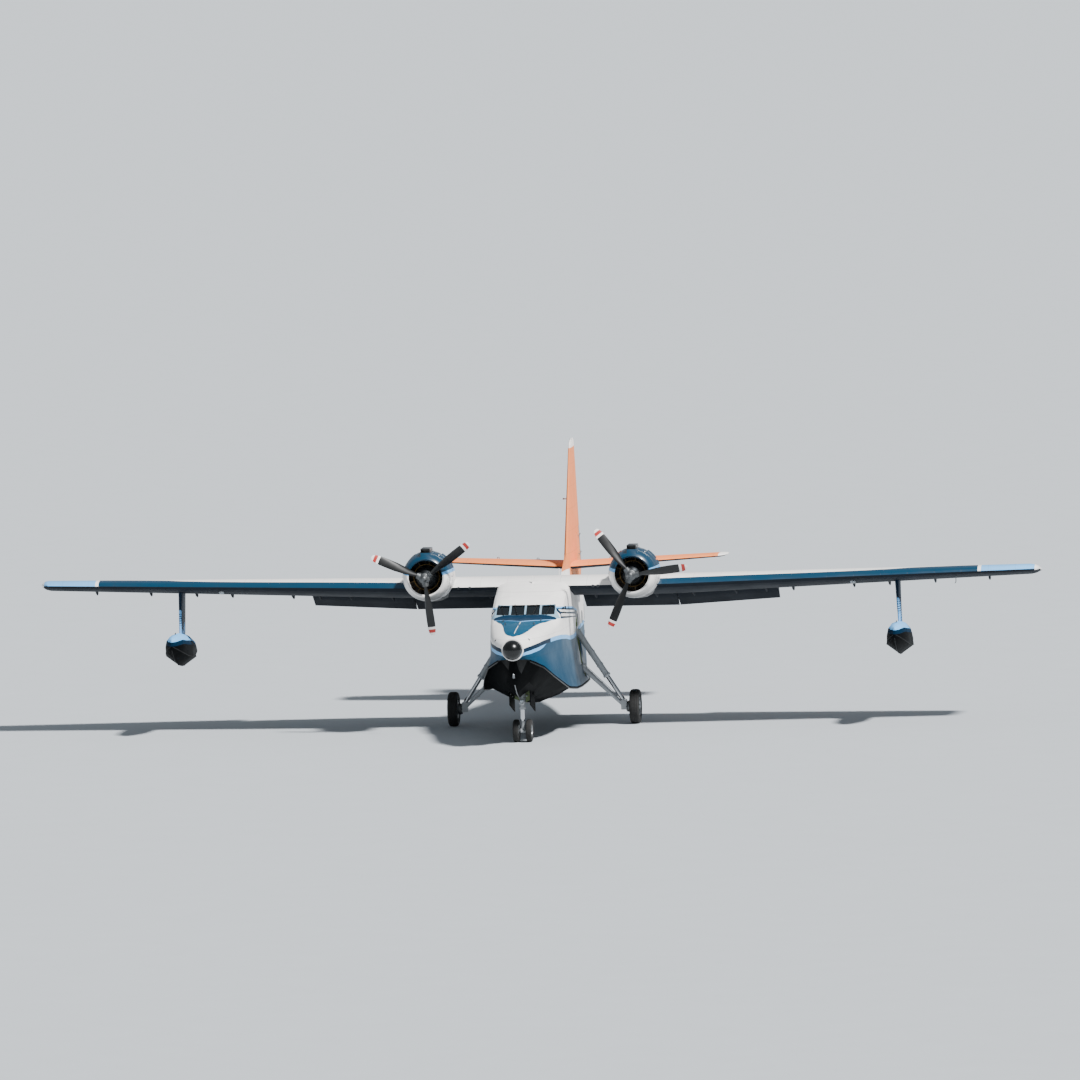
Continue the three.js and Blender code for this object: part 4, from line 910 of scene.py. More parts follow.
def makeWindowSeals():
    seals, wipers = [], []
    lift = paneEdges["sealLift"]
    for hand, side in sides.items():
        for n, (face, width, height) in enumerate(paneEdges["panes"]):
            loop = roundedLoop(width, height, paneEdges["corner"])
            points = [onWindshield(side * u, v, lift)[0] if face == "front" else onSide(side, u, v, lift)[0]
                      for u, v in loop]
            seals.append(tube(f"windowSeal{hand}{n}", points, paneEdges["sealRadius"], closed=True))
        for n, (pivot, tip) in enumerate(paneEdges["wipers"]):
            a, normal = onWindshield(side * pivot[0], pivot[1], 0.012)
            b = onWindshield(side * tip[0], tip[1], -0.02)[0]
            wipers.append(rod(f"wiperArm{hand}{n}", a, b, paneEdges["wiperRadius"], sides=8, bevel=0))
            wipers.append(block(f"wiperBlade{hand}{n}", b - Vector((0.008, 0.006, 0.08)),
                                b + Vector((0.008, 0.006, 0.06)), 0.002, 1))
            wipers.append(turned(f"wiperPivot{hand}{n}", [(0, 0.03), (0.014, 0.028), (0.018, 0.0), (0, 0.0)],
                                 a - normal * 0.012, normal, 12))
    dress(joined(seals, "windowSeals"), "bow_hull", "sealRubber", 60)
    dress(joined(wipers, "windshieldWipers"), "bow_hull", "sooted", 40)


# Pale bars that run back over the side windows: their upper and lower edges as (station, height)
windowBars = [
    {"top": [(4.14, 3.706), (4.4, 3.675), (5.52, 3.587), (7.14, 3.454)],
     "low": [(4.07, 3.652), (4.34, 3.616), (5.5, 3.524), (7.14, 3.412)], "from": 4.14, "to": 7.0},
    {"top": [(4.07, 3.593), (5.12, 3.51), (7.6, 3.304)],
     "low": [(4.07, 3.511), (4.22, 3.499), (5.47, 3.409), (8.7, 3.17)], "from": 4.12, "to": 7.5},
]
barThickness = 0.012


def makeWindowBars():
    bars = []
    for hand, side in sides.items():
        for n, bar in enumerate(windowBars):
            rings = []
            for k in range(31):
                s = bar["from"] + (bar["to"] - bar["from"]) * k / 30
                top, normal = onSide(side, s, between(bar["top"], s), 0.004)
                low = onSide(side, s, between(bar["low"], s), 0.004)[0]
                lift = normal * barThickness
                rings.append([low, top, top + lift, low + lift])
            bars.append(skinned(f"windowBar{hand}{n}", rings))
    dress(joined(bars, "windowBars"), "bow_hull", "white", 30)


deckFittings = {"aerials": [("roofMast", 5.93, 0.22, (0.13, 0.07)),
                            ("rearAerial", 13.0, 0.30, (0.22, 0.12))],
                "cleats": [(0.42, 2.35), (0.55, 3.0), (0.30, 14.2)]}


def bladeAerial(name, base, tall, chords, thick=0.022, lean=0.05):  # a mast from just inside the skin up
    rings = []
    for share, chord in ((-0.08, chords[0]), (0.9, chords[1]), (1.0, chords[1] * 0.55)):
        y0 = base.y + lean * share
        wide = thick * (1.0 if share < 0.95 else 0.4)
        outline = [(-0.5, 0), (-0.3, 0.42), (0, 0.5), (0.5, 0), (0, -0.5), (-0.3, -0.42)]
        foot = Vector((base.x, y0, base.z + share * tall))
        rings.append([foot + Vector((v * wide, u * chord, 0)) for u, v in outline])
    return skinned(name, rings)


def cleat(name, x, s):
    base = onDeck(x, s)[0]
    parts = []
    for offset in (-0.035, 0.035):
        foot = base + Vector((0, offset, -0.006))
        parts.append(rod(f"{name}Post{offset}", foot, foot + Vector((0, 0, 0.05)), 0.011, 0.009, 10, 0))
    horn = base + Vector((0, 0, 0.05))
    bends = [horn + Vector((0, y, z)) for y, z in ((-0.09, 0.008), (-0.05, 0.0), (0.05, 0.0), (0.09, 0.008))]
    parts.append(tube(f"{name}Horn", bends, 0.011, cuts=4))
    return joined(parts, name)


def makeDeckFittings():
    for name, s, tall, chords in deckFittings["aerials"]:
        aerial = bladeAerial(name, onDeck(0.0, s)[0], tall, chords)
        dress(aerial, "cabin_hull", "white", 40)

    cleats = []
    for hand, side in sides.items():
        for n, (x, s) in enumerate(deckFittings["cleats"]):
            cleats.append(cleat(f"cleat{hand}{n}", side * x, s))
    dress(joined(cleats, "mooringCleats"), "bow_hull", "cast", 40)

    point = probe(["bow_hull"], spotAt(0.0, -1.0, 2.1), (0, 1, 0))[0]
    eye = tube("bowEye", [point + Vector((0, -0.055 * math.sin(a) + 0.02, 0.05 * math.cos(a))) for a in
                          (math.pi * n / 10 for n in range(11))], 0.012)
    plate = block("bowEyePlate", point + Vector((-0.03, -0.004, -0.085)),
                  point + Vector((0.03, 0.05, 0.085)), 0.004, 1)
    dress(joined([eye, plate], "bowTowEye"), "bow_hull", "steel", 40)


# Rails along the keel and the chines, as stations from and to
keelRuns = [(0.75, 1.8), (3.32, 9.46), (9.56, 15.76)]
chineRail = [(0.7, 0.46, 2.48), (1.25, 0.81, 2.25), (2.1, 1.03, 1.90), (3.0, 1.165, 1.64),
             (3.72, 1.245, 1.45), (4.18, 1.275, 1.40), (5.3, 1.305, 1.30), (6.1, 1.30, 1.265),
             (6.8, 1.295, 1.24), (8.6, 1.265, 1.22), (9.46, 1.237, 1.225)]
railRadius = {"keel": 0.014, "chine": 0.018}


def makeRails():
    rails = []
    for n, (start, end) in enumerate(keelRuns):
        steps = max(8, int((end - start) / 0.25))
        points = [probe(hullNodes, spotAt(0.0, start + (end - start) * k / steps, -0.5), (0, 0, 1))[0]
                  for k in range(steps + 1)]
        rails.append(tube(f"keelRail{n}", points, railRadius["keel"]))
    dress(joined(rails, "keelRail"), "cabin_hull", "steel", 60)
    rails = []
    for hand, side in sides.items():
        points = [spotAt(side * x, s, z + 0.002) for s, x, z in chineRail]
        rails.append(tube(f"chineRail{hand}", points, railRadius["chine"]))
    dress(joined(rails, "sprayRails"), "cabin_hull", "black", 60)


# Cabin windows and hatches on the flanks, as (side, station, height)
portholes = {"places": [(1, 9.0, 3.02), (1, 10.7, 2.98), (1, 12.75, 2.94), (-1, 9.0, 3.02), (-1, 10.7, 2.98),
                        (-1, 11.7, 2.96), (-1, 12.75, 2.94)],
             "radius": 0.165, "doorStation": 11.78, "doorHeight": 3.08, "doorRadius": 0.14}


def porthole(name, point, normal, radius):
    rim = [(radius, -0.01), (radius + 0.028, -0.01), (radius + 0.03, 0.006), (radius + 0.018, 0.014),
           (radius, 0.012), (radius - 0.012, 0.004), (radius - 0.012, -0.01), (radius, -0.01)]
    pane = [(0, 0.006), (radius * 0.5, 0.005), (radius - 0.006, 0.001), (radius - 0.006, -0.012),
            (0, -0.012)]
    return turned(f"{name}Rim", rim, point, normal, 36), turned(f"{name}Pane", pane, point, normal, 36)


def onDoor(s, z):
    return probe(["cabin_door"], spotAt(3.0, s, z), (-1, 0, 0))


def makePortholes():
    rims, panes = [], []
    for n, (side, s, z) in enumerate(portholes["places"]):
        point, normal = onSide(side, s, z, 0.004)
        rim, pane = porthole(f"porthole{n}", point, normal, portholes["radius"])
        rims.append(rim)
        panes.append(pane)
    dress(joined(rims, "portholeRims"), "cabin_hull", "alloy", 40)
    # the dark panes are painted shade of the cabin behind them
    dress(joined(panes, "portholePanes"), "cabin_hull", "smokedGlass", 40)

    point, normal = onDoor(portholes["doorStation"], portholes["doorHeight"])
    rim, pane = porthole("doorPorthole", point + normal * 0.003, normal, portholes["doorRadius"])
    dress(rim, "cabin_door", "alloy", 40)
    dress(pane, "cabin_door", "smokedGlass", 40)


doorTrim = {"handle": (11.42, 2.78), "hingeStation": 12.2, "hinges": [2.42, 3.2],
            "ribStation": 11.75, "ribs": [2.45, 2.72, 3.25]}


def makeDoorTrim():
    point, normal = onDoor(*doorTrim["handle"])
    dish = turned("handleDish", [(0, 0.003), (0.055, 0.003), (0.062, 0.006), (0.068, 0.003), (0.068, -0.01),
                                 (0, -0.01)], point, normal, 28)
    grip = tube("handleGrip", [point + normal * lift + Vector((0, along, 0)) for along, lift in
                               ((-0.02, 0.004), (-0.01, 0.022), (0.06, 0.024), (0.11, 0.02), (0.12, 0.012))],
                0.009, cuts=4)
    parts = [dish, grip]
    for n, z in enumerate(doorTrim["hinges"]):
        point = onDoor(doorTrim["hingeStation"], z)[0] + Vector((0.004, 0, 0))
        half = Vector((0, 0, 0.05))
        parts.append(rod(f"doorKnuckle{n}", point - half, point + half, 0.012, sides=12))
    dress(joined(parts, "doorHandle"), "cabin_door", "chrome", 40)

    # a stiffened inner skin: three pressed ribs across the leaf
    ribs = []
    for n, z in enumerate(doorTrim["ribs"]):
        point = probe(["cabin_door"], spotAt(0.0, doorTrim["ribStation"], z), (1, 0, 0))[0]
        low, high = point + Vector((-0.022, -0.36, -0.02)), point + Vector((0.012, 0.30, 0.02))
        ribs.append(block(f"doorRib{n}", low, high, 0.008))
    dress(joined(ribs, "doorRibs"), "cabin_door", "interior", 40)


makeBowTrim()
makeWindowSeals()
makeWindowBars()
makeDeckFittings()
makeRails()
makePortholes()
makeDoorTrim()
print("hull details")


# Engines: a radial of nine finned cylinders in each cowl

engine = {"out": 3.02, "height": 4.635, "cowlFront": 4.90, "rowAt": 5.37, "cylinders": 9, "firstAngle": 10.0,
          "foot": 0.27, "head": 0.655, "barrel": 0.078, "finRadius": 0.098, "finCount": 11,
          "finThick": 0.007, "pushrodAt": 5.255, "ringRadius": 0.375, "collector": (0.59, 0.045),
          "collectorAt": 5.69, "exhaust": [(0.50, 5.40), (0.56, 5.47), (0.60, 5.58), (0.60, 5.70)],
          "baffleAt": 5.475}


def onShaft(x, s):
    return spotAt(x, s, engine["height"])


def hoop(radius, thick):  # a round bar's outline, as the profile of a ring
    turns = [math.pi * k / 6 for k in range(13)]
    return [(radius + thick * math.cos(a), thick * math.sin(a)) for a in turns]


def engineCase(x):
    nose = [(0.06, 0.02), (0.115, 0.025), (0.13, 0.045), (0.15, 0.06), (0.20, 0.10), (0.215, 0.14),
            (0.225, 0.15), (0.225, 0.17), (0.235, 0.18), (0.245, 0.25), (0.262, 0.26), (0.262, 0.285),
            (0.285, 0.30), (0.30, 0.315), (0.30, 0.60), (0.27, 0.62), (0.27, 0.895), (0.06, 0.895)]
    parts = [turned("engineCase", nose, onShaft(x, engine["cowlFront"]), (0, 1, 0), 36)]
    for ring, (r, behind, count) in enumerate([(0.225, 0.155, 12), (0.272, 0.272, 18)]):
        for n in range(count):
            spot = onShaft(x, engine["cowlFront"] + behind) + spoke(360 * n / count) * r
            parts.append(rod(f"caseStud{ring}{n}", spot + Vector((0, -0.016, 0)), spot, 0.009, sides=6,
                             bevel=0))
    return parts


def cylinderAt(x, s):  # one cylinder standing straight up from the crankcase
    r, fin = engine["barrel"], engine["finRadius"]
    foot, head, count = engine["foot"], engine["head"], engine["finCount"]
    outline = [(r + 0.02, foot), (r + 0.02, foot + 0.02), (r, foot + 0.025)]
    pitch = (head - 0.08 - foot - 0.04) / count
    for n in range(count):
        at = foot + 0.04 + n * pitch
        wide = fin * (0.92 if n < count * 0.55 else 1.0)
        outline += [(r, at), (wide, at + 0.002), (wide, at + engine["finThick"]),
                    (r, at + engine["finThick"] + 0.002)]
    outline += [(r, head - 0.075), (r * 0.95, head - 0.045), (r * 0.6, head - 0.02), (0.0, head - 0.01)]
    barrel = turned("cylinderBarrel", outline, onShaft(x, s), (0, 0, 1), 20)
    parts = [barrel]
    for n, along in enumerate((-0.055, 0.055)):
        top = onShaft(x, s + along) + Vector((0, 0, head))
        parts.append(block(f"rockerBox{n}", top + Vector((-0.035, -0.032, -0.075)),
                           top + Vector((0.035, 0.032, 0.012)), 0.012))
    for n, across in enumerate((-0.038, 0.038)):
        a = onShaft(x + across * 0.8, engine["pushrodAt"]) + Vector((0, 0, 0.26))
        b = onShaft(x + across, s - 0.062) + Vector((0, 0, head - 0.05))
        parts.append(rod(f"pushrodTube{n}", a, b, 0.0125, sides=10, bevel=0))
    plug = onShaft(x, s - 0.075) + Vector((0, 0, head - 0.12))
    parts.append(rod("sparkPlug", plug, plug + Vector((0, -0.045, 0.0)), 0.014, 0.009, 8, 0))
    lead = [onShaft(x, engine["pushrodAt"] - 0.02) + Vector((0, 0, engine["ringRadius"])),
            onShaft(x + 0.03, engine["pushrodAt"] - 0.035) + Vector((0, 0, 0.45)),
            plug + Vector((0.01, -0.05, -0.03)), plug + Vector((0, -0.043, 0.0))]
    wire = tube("plugLead", lead, 0.006, cuts=5)
    return joined(parts, "cylinder"), wire


def makeEngines():
    step = 360.0 / engine["cylinders"]
    x = engine["out"]
    cylinder, lead = cylinderAt(x, engine["rowAt"])
    cylinders, leads = [], []
    for n in range(engine["cylinders"]):
        turn = turnAbout(onShaft(x, 0), (0, 1, 0), engine["firstAngle"] + n * step)
        cylinders.append(copyOf(cylinder, f"cylinder{n}", turn))
        leads.append(copyOf(lead, f"plugLead{n}", turn))
    bpy.data.objects.remove(cylinder)
    bpy.data.objects.remove(lead)
    ring = turned("ignitionRing", hoop(engine["ringRadius"], 0.016), onShaft(x, engine["pushrodAt"] - 0.02),
                  (0, 1, 0), 48)
    exhausts = [turned("exhaustCollector", hoop(*engine["collector"]), onShaft(x, engine["collectorAt"]),
                       (0, 1, 0), 48)]
    for n in range(engine["cylinders"]):
        way = spoke(engine["firstAngle"] + (n + 0.5) * step)
        points = [onShaft(x, s) + way * r for r, s in engine["exhaust"]]
        exhausts.append(tube(f"exhaustPipe{n}", points, 0.034, cuts=5))
    baffle = turned("engineBaffle", [(0.30, 0.0), (0.675, 0.0), (0.675, 0.008), (0.30, 0.008), (0.30, 0.0)],
                    onShaft(x, engine["baffleAt"]), (0, 1, 0), 48)
    groups = {"engineCylinders": (cylinders, "sooted"), "engineCase": (engineCase(x), "caseGrey"),
              "engineLeads": (leads + [ring], "brass"), "engineExhausts": (exhausts, "burnt"),
              "engineBaffle": ([baffle], "sooted")}
    for name, (parts, look) in groups.items():
        halves = dressPair(joined(parts, name), name, shift(-2 * x), "engine", look)
        if name == "engineCase":
            for hand, half in zip(sides, halves):
                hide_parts("engine_" + hand)


# Propellers: rows of radius, chord, thickness and blade angle from the disc's plane
propeller = {"plane": 4.70, "angles": {"left": [127, 7, 247], "right": [37, 157, 277]},
             "rows": [(0.13, 0.13, 0.115, 60), (0.20, 0.135, 0.11, 57), (0.30, 0.165, 0.095, 53),
                      (0.42, 0.21, 0.08, 48), (0.65, 0.255, 0.058, 39), (0.90, 0.285, 0.042, 32),
                      (1.15, 0.283, 0.032, 27), (1.35, 0.27, 0.024, 23), (1.50, 0.245, 0.020, 21),
                      (1.59, 0.205, 0.016, 19.5), (1.645, 0.14, 0.011, 18.5), (1.670, 0.07, 0.006, 18)]}


def bladeAt(x, degrees):
    outline = [(-0.5, 0.0), (-0.44, 0.2), (-0.3, 0.42), (-0.12, 0.5), (0.08, 0.48), (0.28, 0.36),
               (0.42, 0.16), (0.5, 0.0), (0.42, -0.05), (0.25, -0.1), (0.0, -0.12), (-0.25, -0.1),
               (-0.42, -0.06)]
    turn = Matrix.Rotation(math.radians(degrees), 4, (0, -1, 0))
    rings = []
    for r, chord, thick, pitch in propeller["rows"]:
        twist = Matrix.Rotation(math.radians(pitch), 2)
        ring = []
        for u, v in outline:
            along, across = twist @ Vector((-v * thick, u * chord))
            ring.append(onShaft(x, propeller["plane"]) + turn @ Vector((r, along, across)))
        rings.append(ring)
    return skinned("blade", rings)


def makePropellers():
    for hand, side in sides.items():
        x = side * engine["out"]
        blades = joined([bladeAt(x, degrees) for degrees in propeller["angles"][hand]],
                        f"propellerBlades_{hand}")
        dress(blades, "propeller_" + hand, "blade", 50)
        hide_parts("propeller_" + hand)
        dome = [(0.0, -0.258), (0.03, -0.256), (0.055, -0.246), (0.075, -0.225), (0.09, -0.19),
                (0.095, -0.185), (0.095, -0.175), (0.098, -0.17), (0.10, -0.11), (0.108, -0.105),
                (0.108, -0.09), (0.135, -0.085), (0.155, -0.07), (0.16, -0.05), (0.16, 0.05),
                (0.155, 0.075), (0.11, 0.09), (0.108, 0.155), (0.0, 0.157)]
        root = onShaft(x, propeller["plane"])
        parts = [turned("hubShell", dome, root, (0, 1, 0), 36)]
        for degrees in propeller["angles"][hand]:
            way = Matrix.Rotation(math.radians(degrees), 3, (0, -1, 0)) @ Vector((1, 0, 0))
            cuff = [(0.0, 0.10), (0.088, 0.10), (0.092, 0.14), (0.092, 0.185), (0.084, 0.19), (0.084, 0.21),
                    (0.09, 0.215), (0.09, 0.235), (0.07, 0.245), (0.0, 0.245)]
            parts.append(turned("bladeBarrel", cuff, root, way, 24))
            for spin in range(4):
                ring = way.orthogonal().normalized()
                ring = Matrix.Rotation(math.radians(45 + 90 * spin), 3, way) @ ring
                spot = root + way * 0.16 + ring * 0.092
                parts.append(rod("barrelBolt", spot - way * 0.03, spot + way * 0.03, 0.012, sides=6,
                                 bevel=0))
        for n in range(8):
            spot = root + Vector((0, -0.19, 0)) + spoke(45 * n) * 0.083
            parts.append(rod("domeBolt", spot, spot + Vector((0, -0.012, 0)), 0.007, sides=6, bevel=0))
        dress(joined(parts, f"propellerHub_{hand}"), "propeller_" + hand, "cast", 40)


# Cowls: a ring of flaps at the back, latches, seams and the oil cooler's intake under each nacelle
cowl = {"flaps": 10, "flapAt": 5.74, "flapLength": 0.20, "flapRadius": 0.742, "flapFlare": 0.018,
        "gapDegrees": 4.0, "flapFrom": 30.0, "flapTo": 330.0, "latches": 6, "bands": [5.20, 5.62]}


def cowlFlap(x, middle, span):
    a, b, flare = cowl["flapRadius"] - 0.006, cowl["flapRadius"] - 0.018, cowl["flapFlare"]
    front, back = onShaft(x, cowl["flapAt"]), onShaft(x, cowl["flapAt"] + cowl["flapLength"])
    rings = []
    for k in range(7):
        way = spoke(middle - span / 2 + span * k / 6)
        rings.append([front + way * b, front + way * a, back + way * (a + flare), back + way * (b + flare)])
    return skinned("cowlFlap", rings)


def makeCowlDetails():
    span = (cowl["flapTo"] - cowl["flapFrom"]) / cowl["flaps"]
    flaps = [cowlFlap(engine["out"], cowl["flapFrom"] + (n + 0.5) * span, span - cowl["gapDegrees"])
             for n in range(cowl["flaps"])]
    dressPair(joined(flaps, "cowlFlaps"), "cowlFlaps", mirrorX, "cowling", "cowl", 30)

    trim, lips = [], []
    corners = [(-1, -1), (1, -1), (1, 1), (-1, 1)]
    for hand, side in sides.items():
        x = side * engine["out"]
        for n in range(cowl["latches"]):
            way = spoke(30 + 60 * n)
            across = way.cross(Vector((0, 1, 0)))
            point, normal = probe(["cowling_" + hand], onShaft(x, 5.42) + way * 1.2, -way)
            rings = []
            for half, length, lift in ((0.02, 0.05, -0.002), (0.014, 0.044, 0.007)):
                base = point + normal * lift
                rings.append([base + across * u * half + Vector((0, v * length, 0)) for u, v in corners])
            trim.append(skinned("cowlLatch", rings))
        for s in cowl["bands"]:
            ways = [spoke(360 * n / 48) for n in range(48)]
            points = [probe(["cowling_" + hand], onShaft(x, s) + way * 1.3, -way)[0] for way in ways]
            trim.append(tube("cowlBand", points, 0.005, closed=True))
        intake = [(0.0, 0.02), (0.075, 0.02), (0.085, 0.0), (0.10, -0.012), (0.115, 0.01), (0.125, 0.10),
                  (0.12, 0.35), (0.07, 0.62), (0.0, 0.66)]
        lips.append(turned("oilCoolerDuct", intake, spotAt(x, 5.95, 4.02), (0, 1, 0), 28))
    dress(joined(trim, "cowlLatchesAndBands"), "cowling_left", "steel", 40)
    # the oil cooler ducts under the nacelles take the painted shade of the undersides
    dress(joined(lips, "oilCoolerDucts"), "nacelle_left", "under", 35)


makeEngines()
makePropellers()
makeCowlDetails()
print("engines and propellers")


# Wing details

wing = {"nodes": ["wing_centre"] + pairOf("wing"), "lampAt": 7.62, "hingeShares": (0.54, 0.69),
        "hingeOuts": [1.55, 3.35, 4.45, 5.70, 6.60, 7.40, 9.2, 10.25, 11.6, 13.2],
        "wickOuts": [10.8, 12.0, 13.2], "landingLightOut": 9.3, "pitotOut": 12.3,
        "capOuts": [2.05, 4.6, 6.2], "drains": [-2.20, -1.87, 1.75, 1.89], "tabOuts": [8.7, 9.6],
        "tabShares": (0.80, 0.93)}


def onWing(side, out, share, above=True):
    past = max(0.0, out - wingLines["centreHalf"])
    chord = wingLines["chord"] + wingLines["taper"] * past
    s = wingLines["leading"] + wingLines["sweep"] * past + share * chord
    start = spotAt(side * out, s, 7.0 if above else 3.0)
    return probe(wing["nodes"] + pairOf("aileron"), start, (0, 0, -1 if above else 1))


def tabLink(name, a, b, up, radius):  # a horn at each end of a tab's rod
    horns = [rod(name + "Horn", foot - up * 0.1, foot + up, radius, 0.007, 8, 0) for foot in (a, b)]
    return horns + [rod(name, a + up * 0.9, b + up * 0.9, 0.008, sides=8, bevel=0)]


def fairing(name, side, out):  # a slim hinge bracket fairing under the wing, running back below the hinge
    front, back = (onWing(side, out, share, above=False)[0] for share in wing["hingeShares"])
    rings = []
    for share, wide, deep in ((0.0, 0.006, 0.0), (0.25, 0.030, 0.045), (0.6, 0.038, 0.10),
                              (0.9, 0.032, 0.13), (1.05, 0.014, 0.11)):
        top = front.lerp(back, share) + Vector((0, 0, 0.012))
        ring = []
        for n in range(10):
            way = spoke(90 - 36 * n)
            ring.append(top + Vector((wide * way.x, 0, -deep / 2 + (deep / 2 + 0.012) * way.z)))
        rings.append(ring)
    return skinned(name, rings)


def makeWingDetails():
    fairings = []
    for hand, side in sides.items():
        for n, out in enumerate(wing["hingeOuts"]):
            fairings.append(fairing(f"hingeFairing{hand}{n}", side, out))
    # the fairings under the wing take the painted shade of the undersides
    dress(joined(fairings, "hingeFairings"), "wing_centre", "under", 40)

    for hand, side in sides.items():
        wicks = []
        for n, out in enumerate(wing["wickOuts"]):
            base = onWing(side, out, 0.985)[0]
            wicks.append(rod(f"staticWick{n}", base + Vector((0, -0.03, 0)), base + Vector((0, 0.15, -0.01)),
                             0.006, 0.002, 8, 0))
        dress(joined(wicks, f"staticWicks_{hand}"), "aileron_" + hand, "sealRubber", 60)

    caps = []
    for hand, side in sides.items():
        for n, out in enumerate(wing["capOuts"]):
            point, normal = onWing(side, out, 0.38)
            cap = [(0, 0.004), (0.03, 0.004), (0.032, 0.009), (0.038, 0.009), (0.04, 0.004), (0.075, 0.004),
                   (0.085, 0.0), (0.085, -0.006), (0, -0.006)]
            caps.append(turned(f"fuelCap{hand}{n}", cap, point, normal, 24))
    dress(joined(caps, "fuelCaps"), "wing_centre", "alloy", 35)

    drains = []
    drain = [(0, 0.012), (0.03, 0.012), (0.045, 0.004), (0.05, -0.006), (0, -0.006)]
    for n, x in enumerate(wing["drains"]):
        point, normal = probe(wing["nodes"], spotAt(x, 4.0, 4.225), (0, 1, 0))
        drains.append(turned(f"leadingEdgeDrain{n}", drain, point, normal, 16))
    dress(joined(drains, "leadingEdgeDrains"), "wing_centre", "slate", 40)

    for hand, side in sides.items():
        parts = []
        for n, out in enumerate(wing["tabOuts"]):
            a, b = (onWing(side, out, share)[0] for share in wing["tabShares"])
            parts += tabLink(f"tabRod{n}", a, b, Vector((0, 0, 0.05)), 0.012)
        dress(joined(parts, f"tabRods_{hand}"), "aileron_" + hand, "steel", 40)


def makeLamps():
    for hand, side in sides.items():
        best = Vector((0, 0, 0))
        for step in range(41):  # the height where the tip reaches furthest out
            start = spotAt(side * 16.0, wing["lampAt"], 4.25 + 0.01 * step)
            hit = shells["wing_" + hand].ray_cast(start, Vector((-side, 0, 0)))[0]
            if hit and abs(hit.x) > abs(best.x):
                best = hit
        base = best - Vector((side * 0.038, 0, 0))
        rings = []
        for along, wide in ((-0.03, 0.02), (0.012, 0.019), (0.028, 0.013), (0.036, 0.004)):
            ways = [spoke(90 - 30 * k) * wide for k in range(12)]
            rings.append([base + Vector((side * along, 1.9 * way.x, way.z)) for way in ways])
        look = "lampRed" if hand == "left" else "lampGreen"
        dress(skinned(f"tipLamp_{hand}", rings), "wing_" + hand, look, 50)

    parts, glasses = [], []
    for hand, side in sides.items():
        point = onWing(side, wing["landingLightOut"], 0.11, above=False)[0]
        axis = Vector((0, -0.5, -0.86)).normalized()
        shell = [(0.0, -0.035), (0.085, -0.03), (0.092, 0.0), (0.092, 0.012), (0.082, 0.014), (0.078, 0.004),
                 (0.0, -0.02)]
        parts.append(turned(f"landingLight{hand}", shell, point + axis * 0.02, axis, 28))
        lens = [(0, 0.016), (0.05, 0.013), (0.08, 0.006), (0.08, 0.0), (0, 0.0)]
        glasses.append(turned(f"landingLightGlass{hand}", lens, point + axis * 0.02, axis, 28))
    dress(joined(parts, "landingLights"), "wing_centre", "chrome", 40)
    dress(joined(glasses, "landingLightGlasses"), "wing_centre", "lampGlass", 40)

    # an air-speed head under the port wing, on a short mast
    base = onWing(1, wing["pitotOut"], 0.12, above=False)[0]
    knee = base + Vector((0, -0.03, -0.16))
    mast = [base + Vector((0, 0, 0.02)), base + Vector((0, -0.005, -0.08)), knee,
            knee + Vector((0, -0.10, -0.012)), knee + Vector((0, -0.34, -0.012))]
    head = tube("airSpeedHead", mast, 0.012, cuts=6)
    dress(head, "wing_left", "steel", 50)


makeWingDetails()
makeLamps()
print("wing details")

# Tail details

tail = {"beaconAt": 17.0, "stubAt": 16.4, "stubHeight": 6.1, "strapAt": 17.12, "hornAt": 17.75,
        "tabAt": 18.75, "hingeHeights": [4.6, 5.6, 6.5, 7.3], "tabRodHeights": [4.35, 4.9], "leading": 15.2,
        "sweep": 0.7 / 4.5, "chord": 2.6, "taper": -1.1 / 4.5, "tabRodOuts": [1.1, 2.3],
        "tabRodShares": (0.70, 0.93)}


def makeTailDetails():
    point = probe(["fin"], spotAt(0.0, tail["beaconAt"], 9.0), (0, 0, -1))[0]
    foot = rod("beaconFoot", point + Vector((0, 0, -0.02)), point + Vector((0, 0, -0.004)), 0.035, sides=20)
    dress(foot, "fin", "alloy", 40)

    # a short outside-air probe on the fin's starboard side, seen against the sky
    point = probe(["fin"], spotAt(-1.0, tail["stubAt"], tail["stubHeight"]), (1, 0, 0))[0]
    stub = tube("finProbe", [point + Vector((0.01, 0, 0)), point + Vector((-0.06, -0.01, 0.0)),
                             point + Vector((-0.11, -0.05, 0.005))], 0.016, cuts=5)
    ball = turned("finProbeTip", [(0, -0.035), (0.02, -0.028), (0.028, -0.01), (0.028, 0.01), (0.02, 0.028),
                                  (0, 0.035)], point + Vector((-0.11, -0.06, 0.006)), (0, 1, 0), 16)
    dress(joined([stub, ball], "finProbe"), "fin", "chrome", 50)

    straps = []
    for n, z in enumerate(tail["hingeHeights"]):
        for side in (1, -1):
            point = probe(["fin"], spotAt(side, tail["strapAt"], z), (-side, 0, 0))[0]
            low = point + Vector((-0.006, -0.10, -0.03))
            straps.append(block(f"hingeStrap{n}{side}", low, low + Vector((0.012, 0.18, 0.06)), 0.003, 1))
    dress(joined(straps, "rudderHingeStraps"), "fin", "tail", 40)

    rods = []
    for n, z in enumerate(tail["tabRodHeights"]):
        ends = (tail["hornAt"], tail["tabAt"] - (z - 4.35) / 3)
        a, b = (probe(["rudder"], spotAt(1.0, s, z), (-1, 0, 0))[0] for s in ends)
        rods += tabLink(f"rudderTabRod{n}", a, b, Vector((0.05, 0, 0)), 0.012)
    dress(joined(rods, "rudderTabRods"), "rudder", "steel", 40)

    for hand, side in sides.items():
        parts = []
        for n, out in enumerate(tail["tabRodOuts"]):
            points = []
            for share in tail["tabRodShares"]:
                chord = tail["chord"] + tail["taper"] * out
                s = tail["leading"] + tail["sweep"] * out + share * chord
                points.append(probe(["elevator_" + hand], spotAt(side * out, s, 8.0), (0, 0, -1))[0])
            parts += tabLink(f"elevatorTabRod{n}", *points, Vector((0, 0, 0.045)), 0.011)
        dress(joined(parts, f"elevatorTabRods_{hand}"), "elevator_" + hand, "steel", 40)


makeTailDetails()
print("tail details")

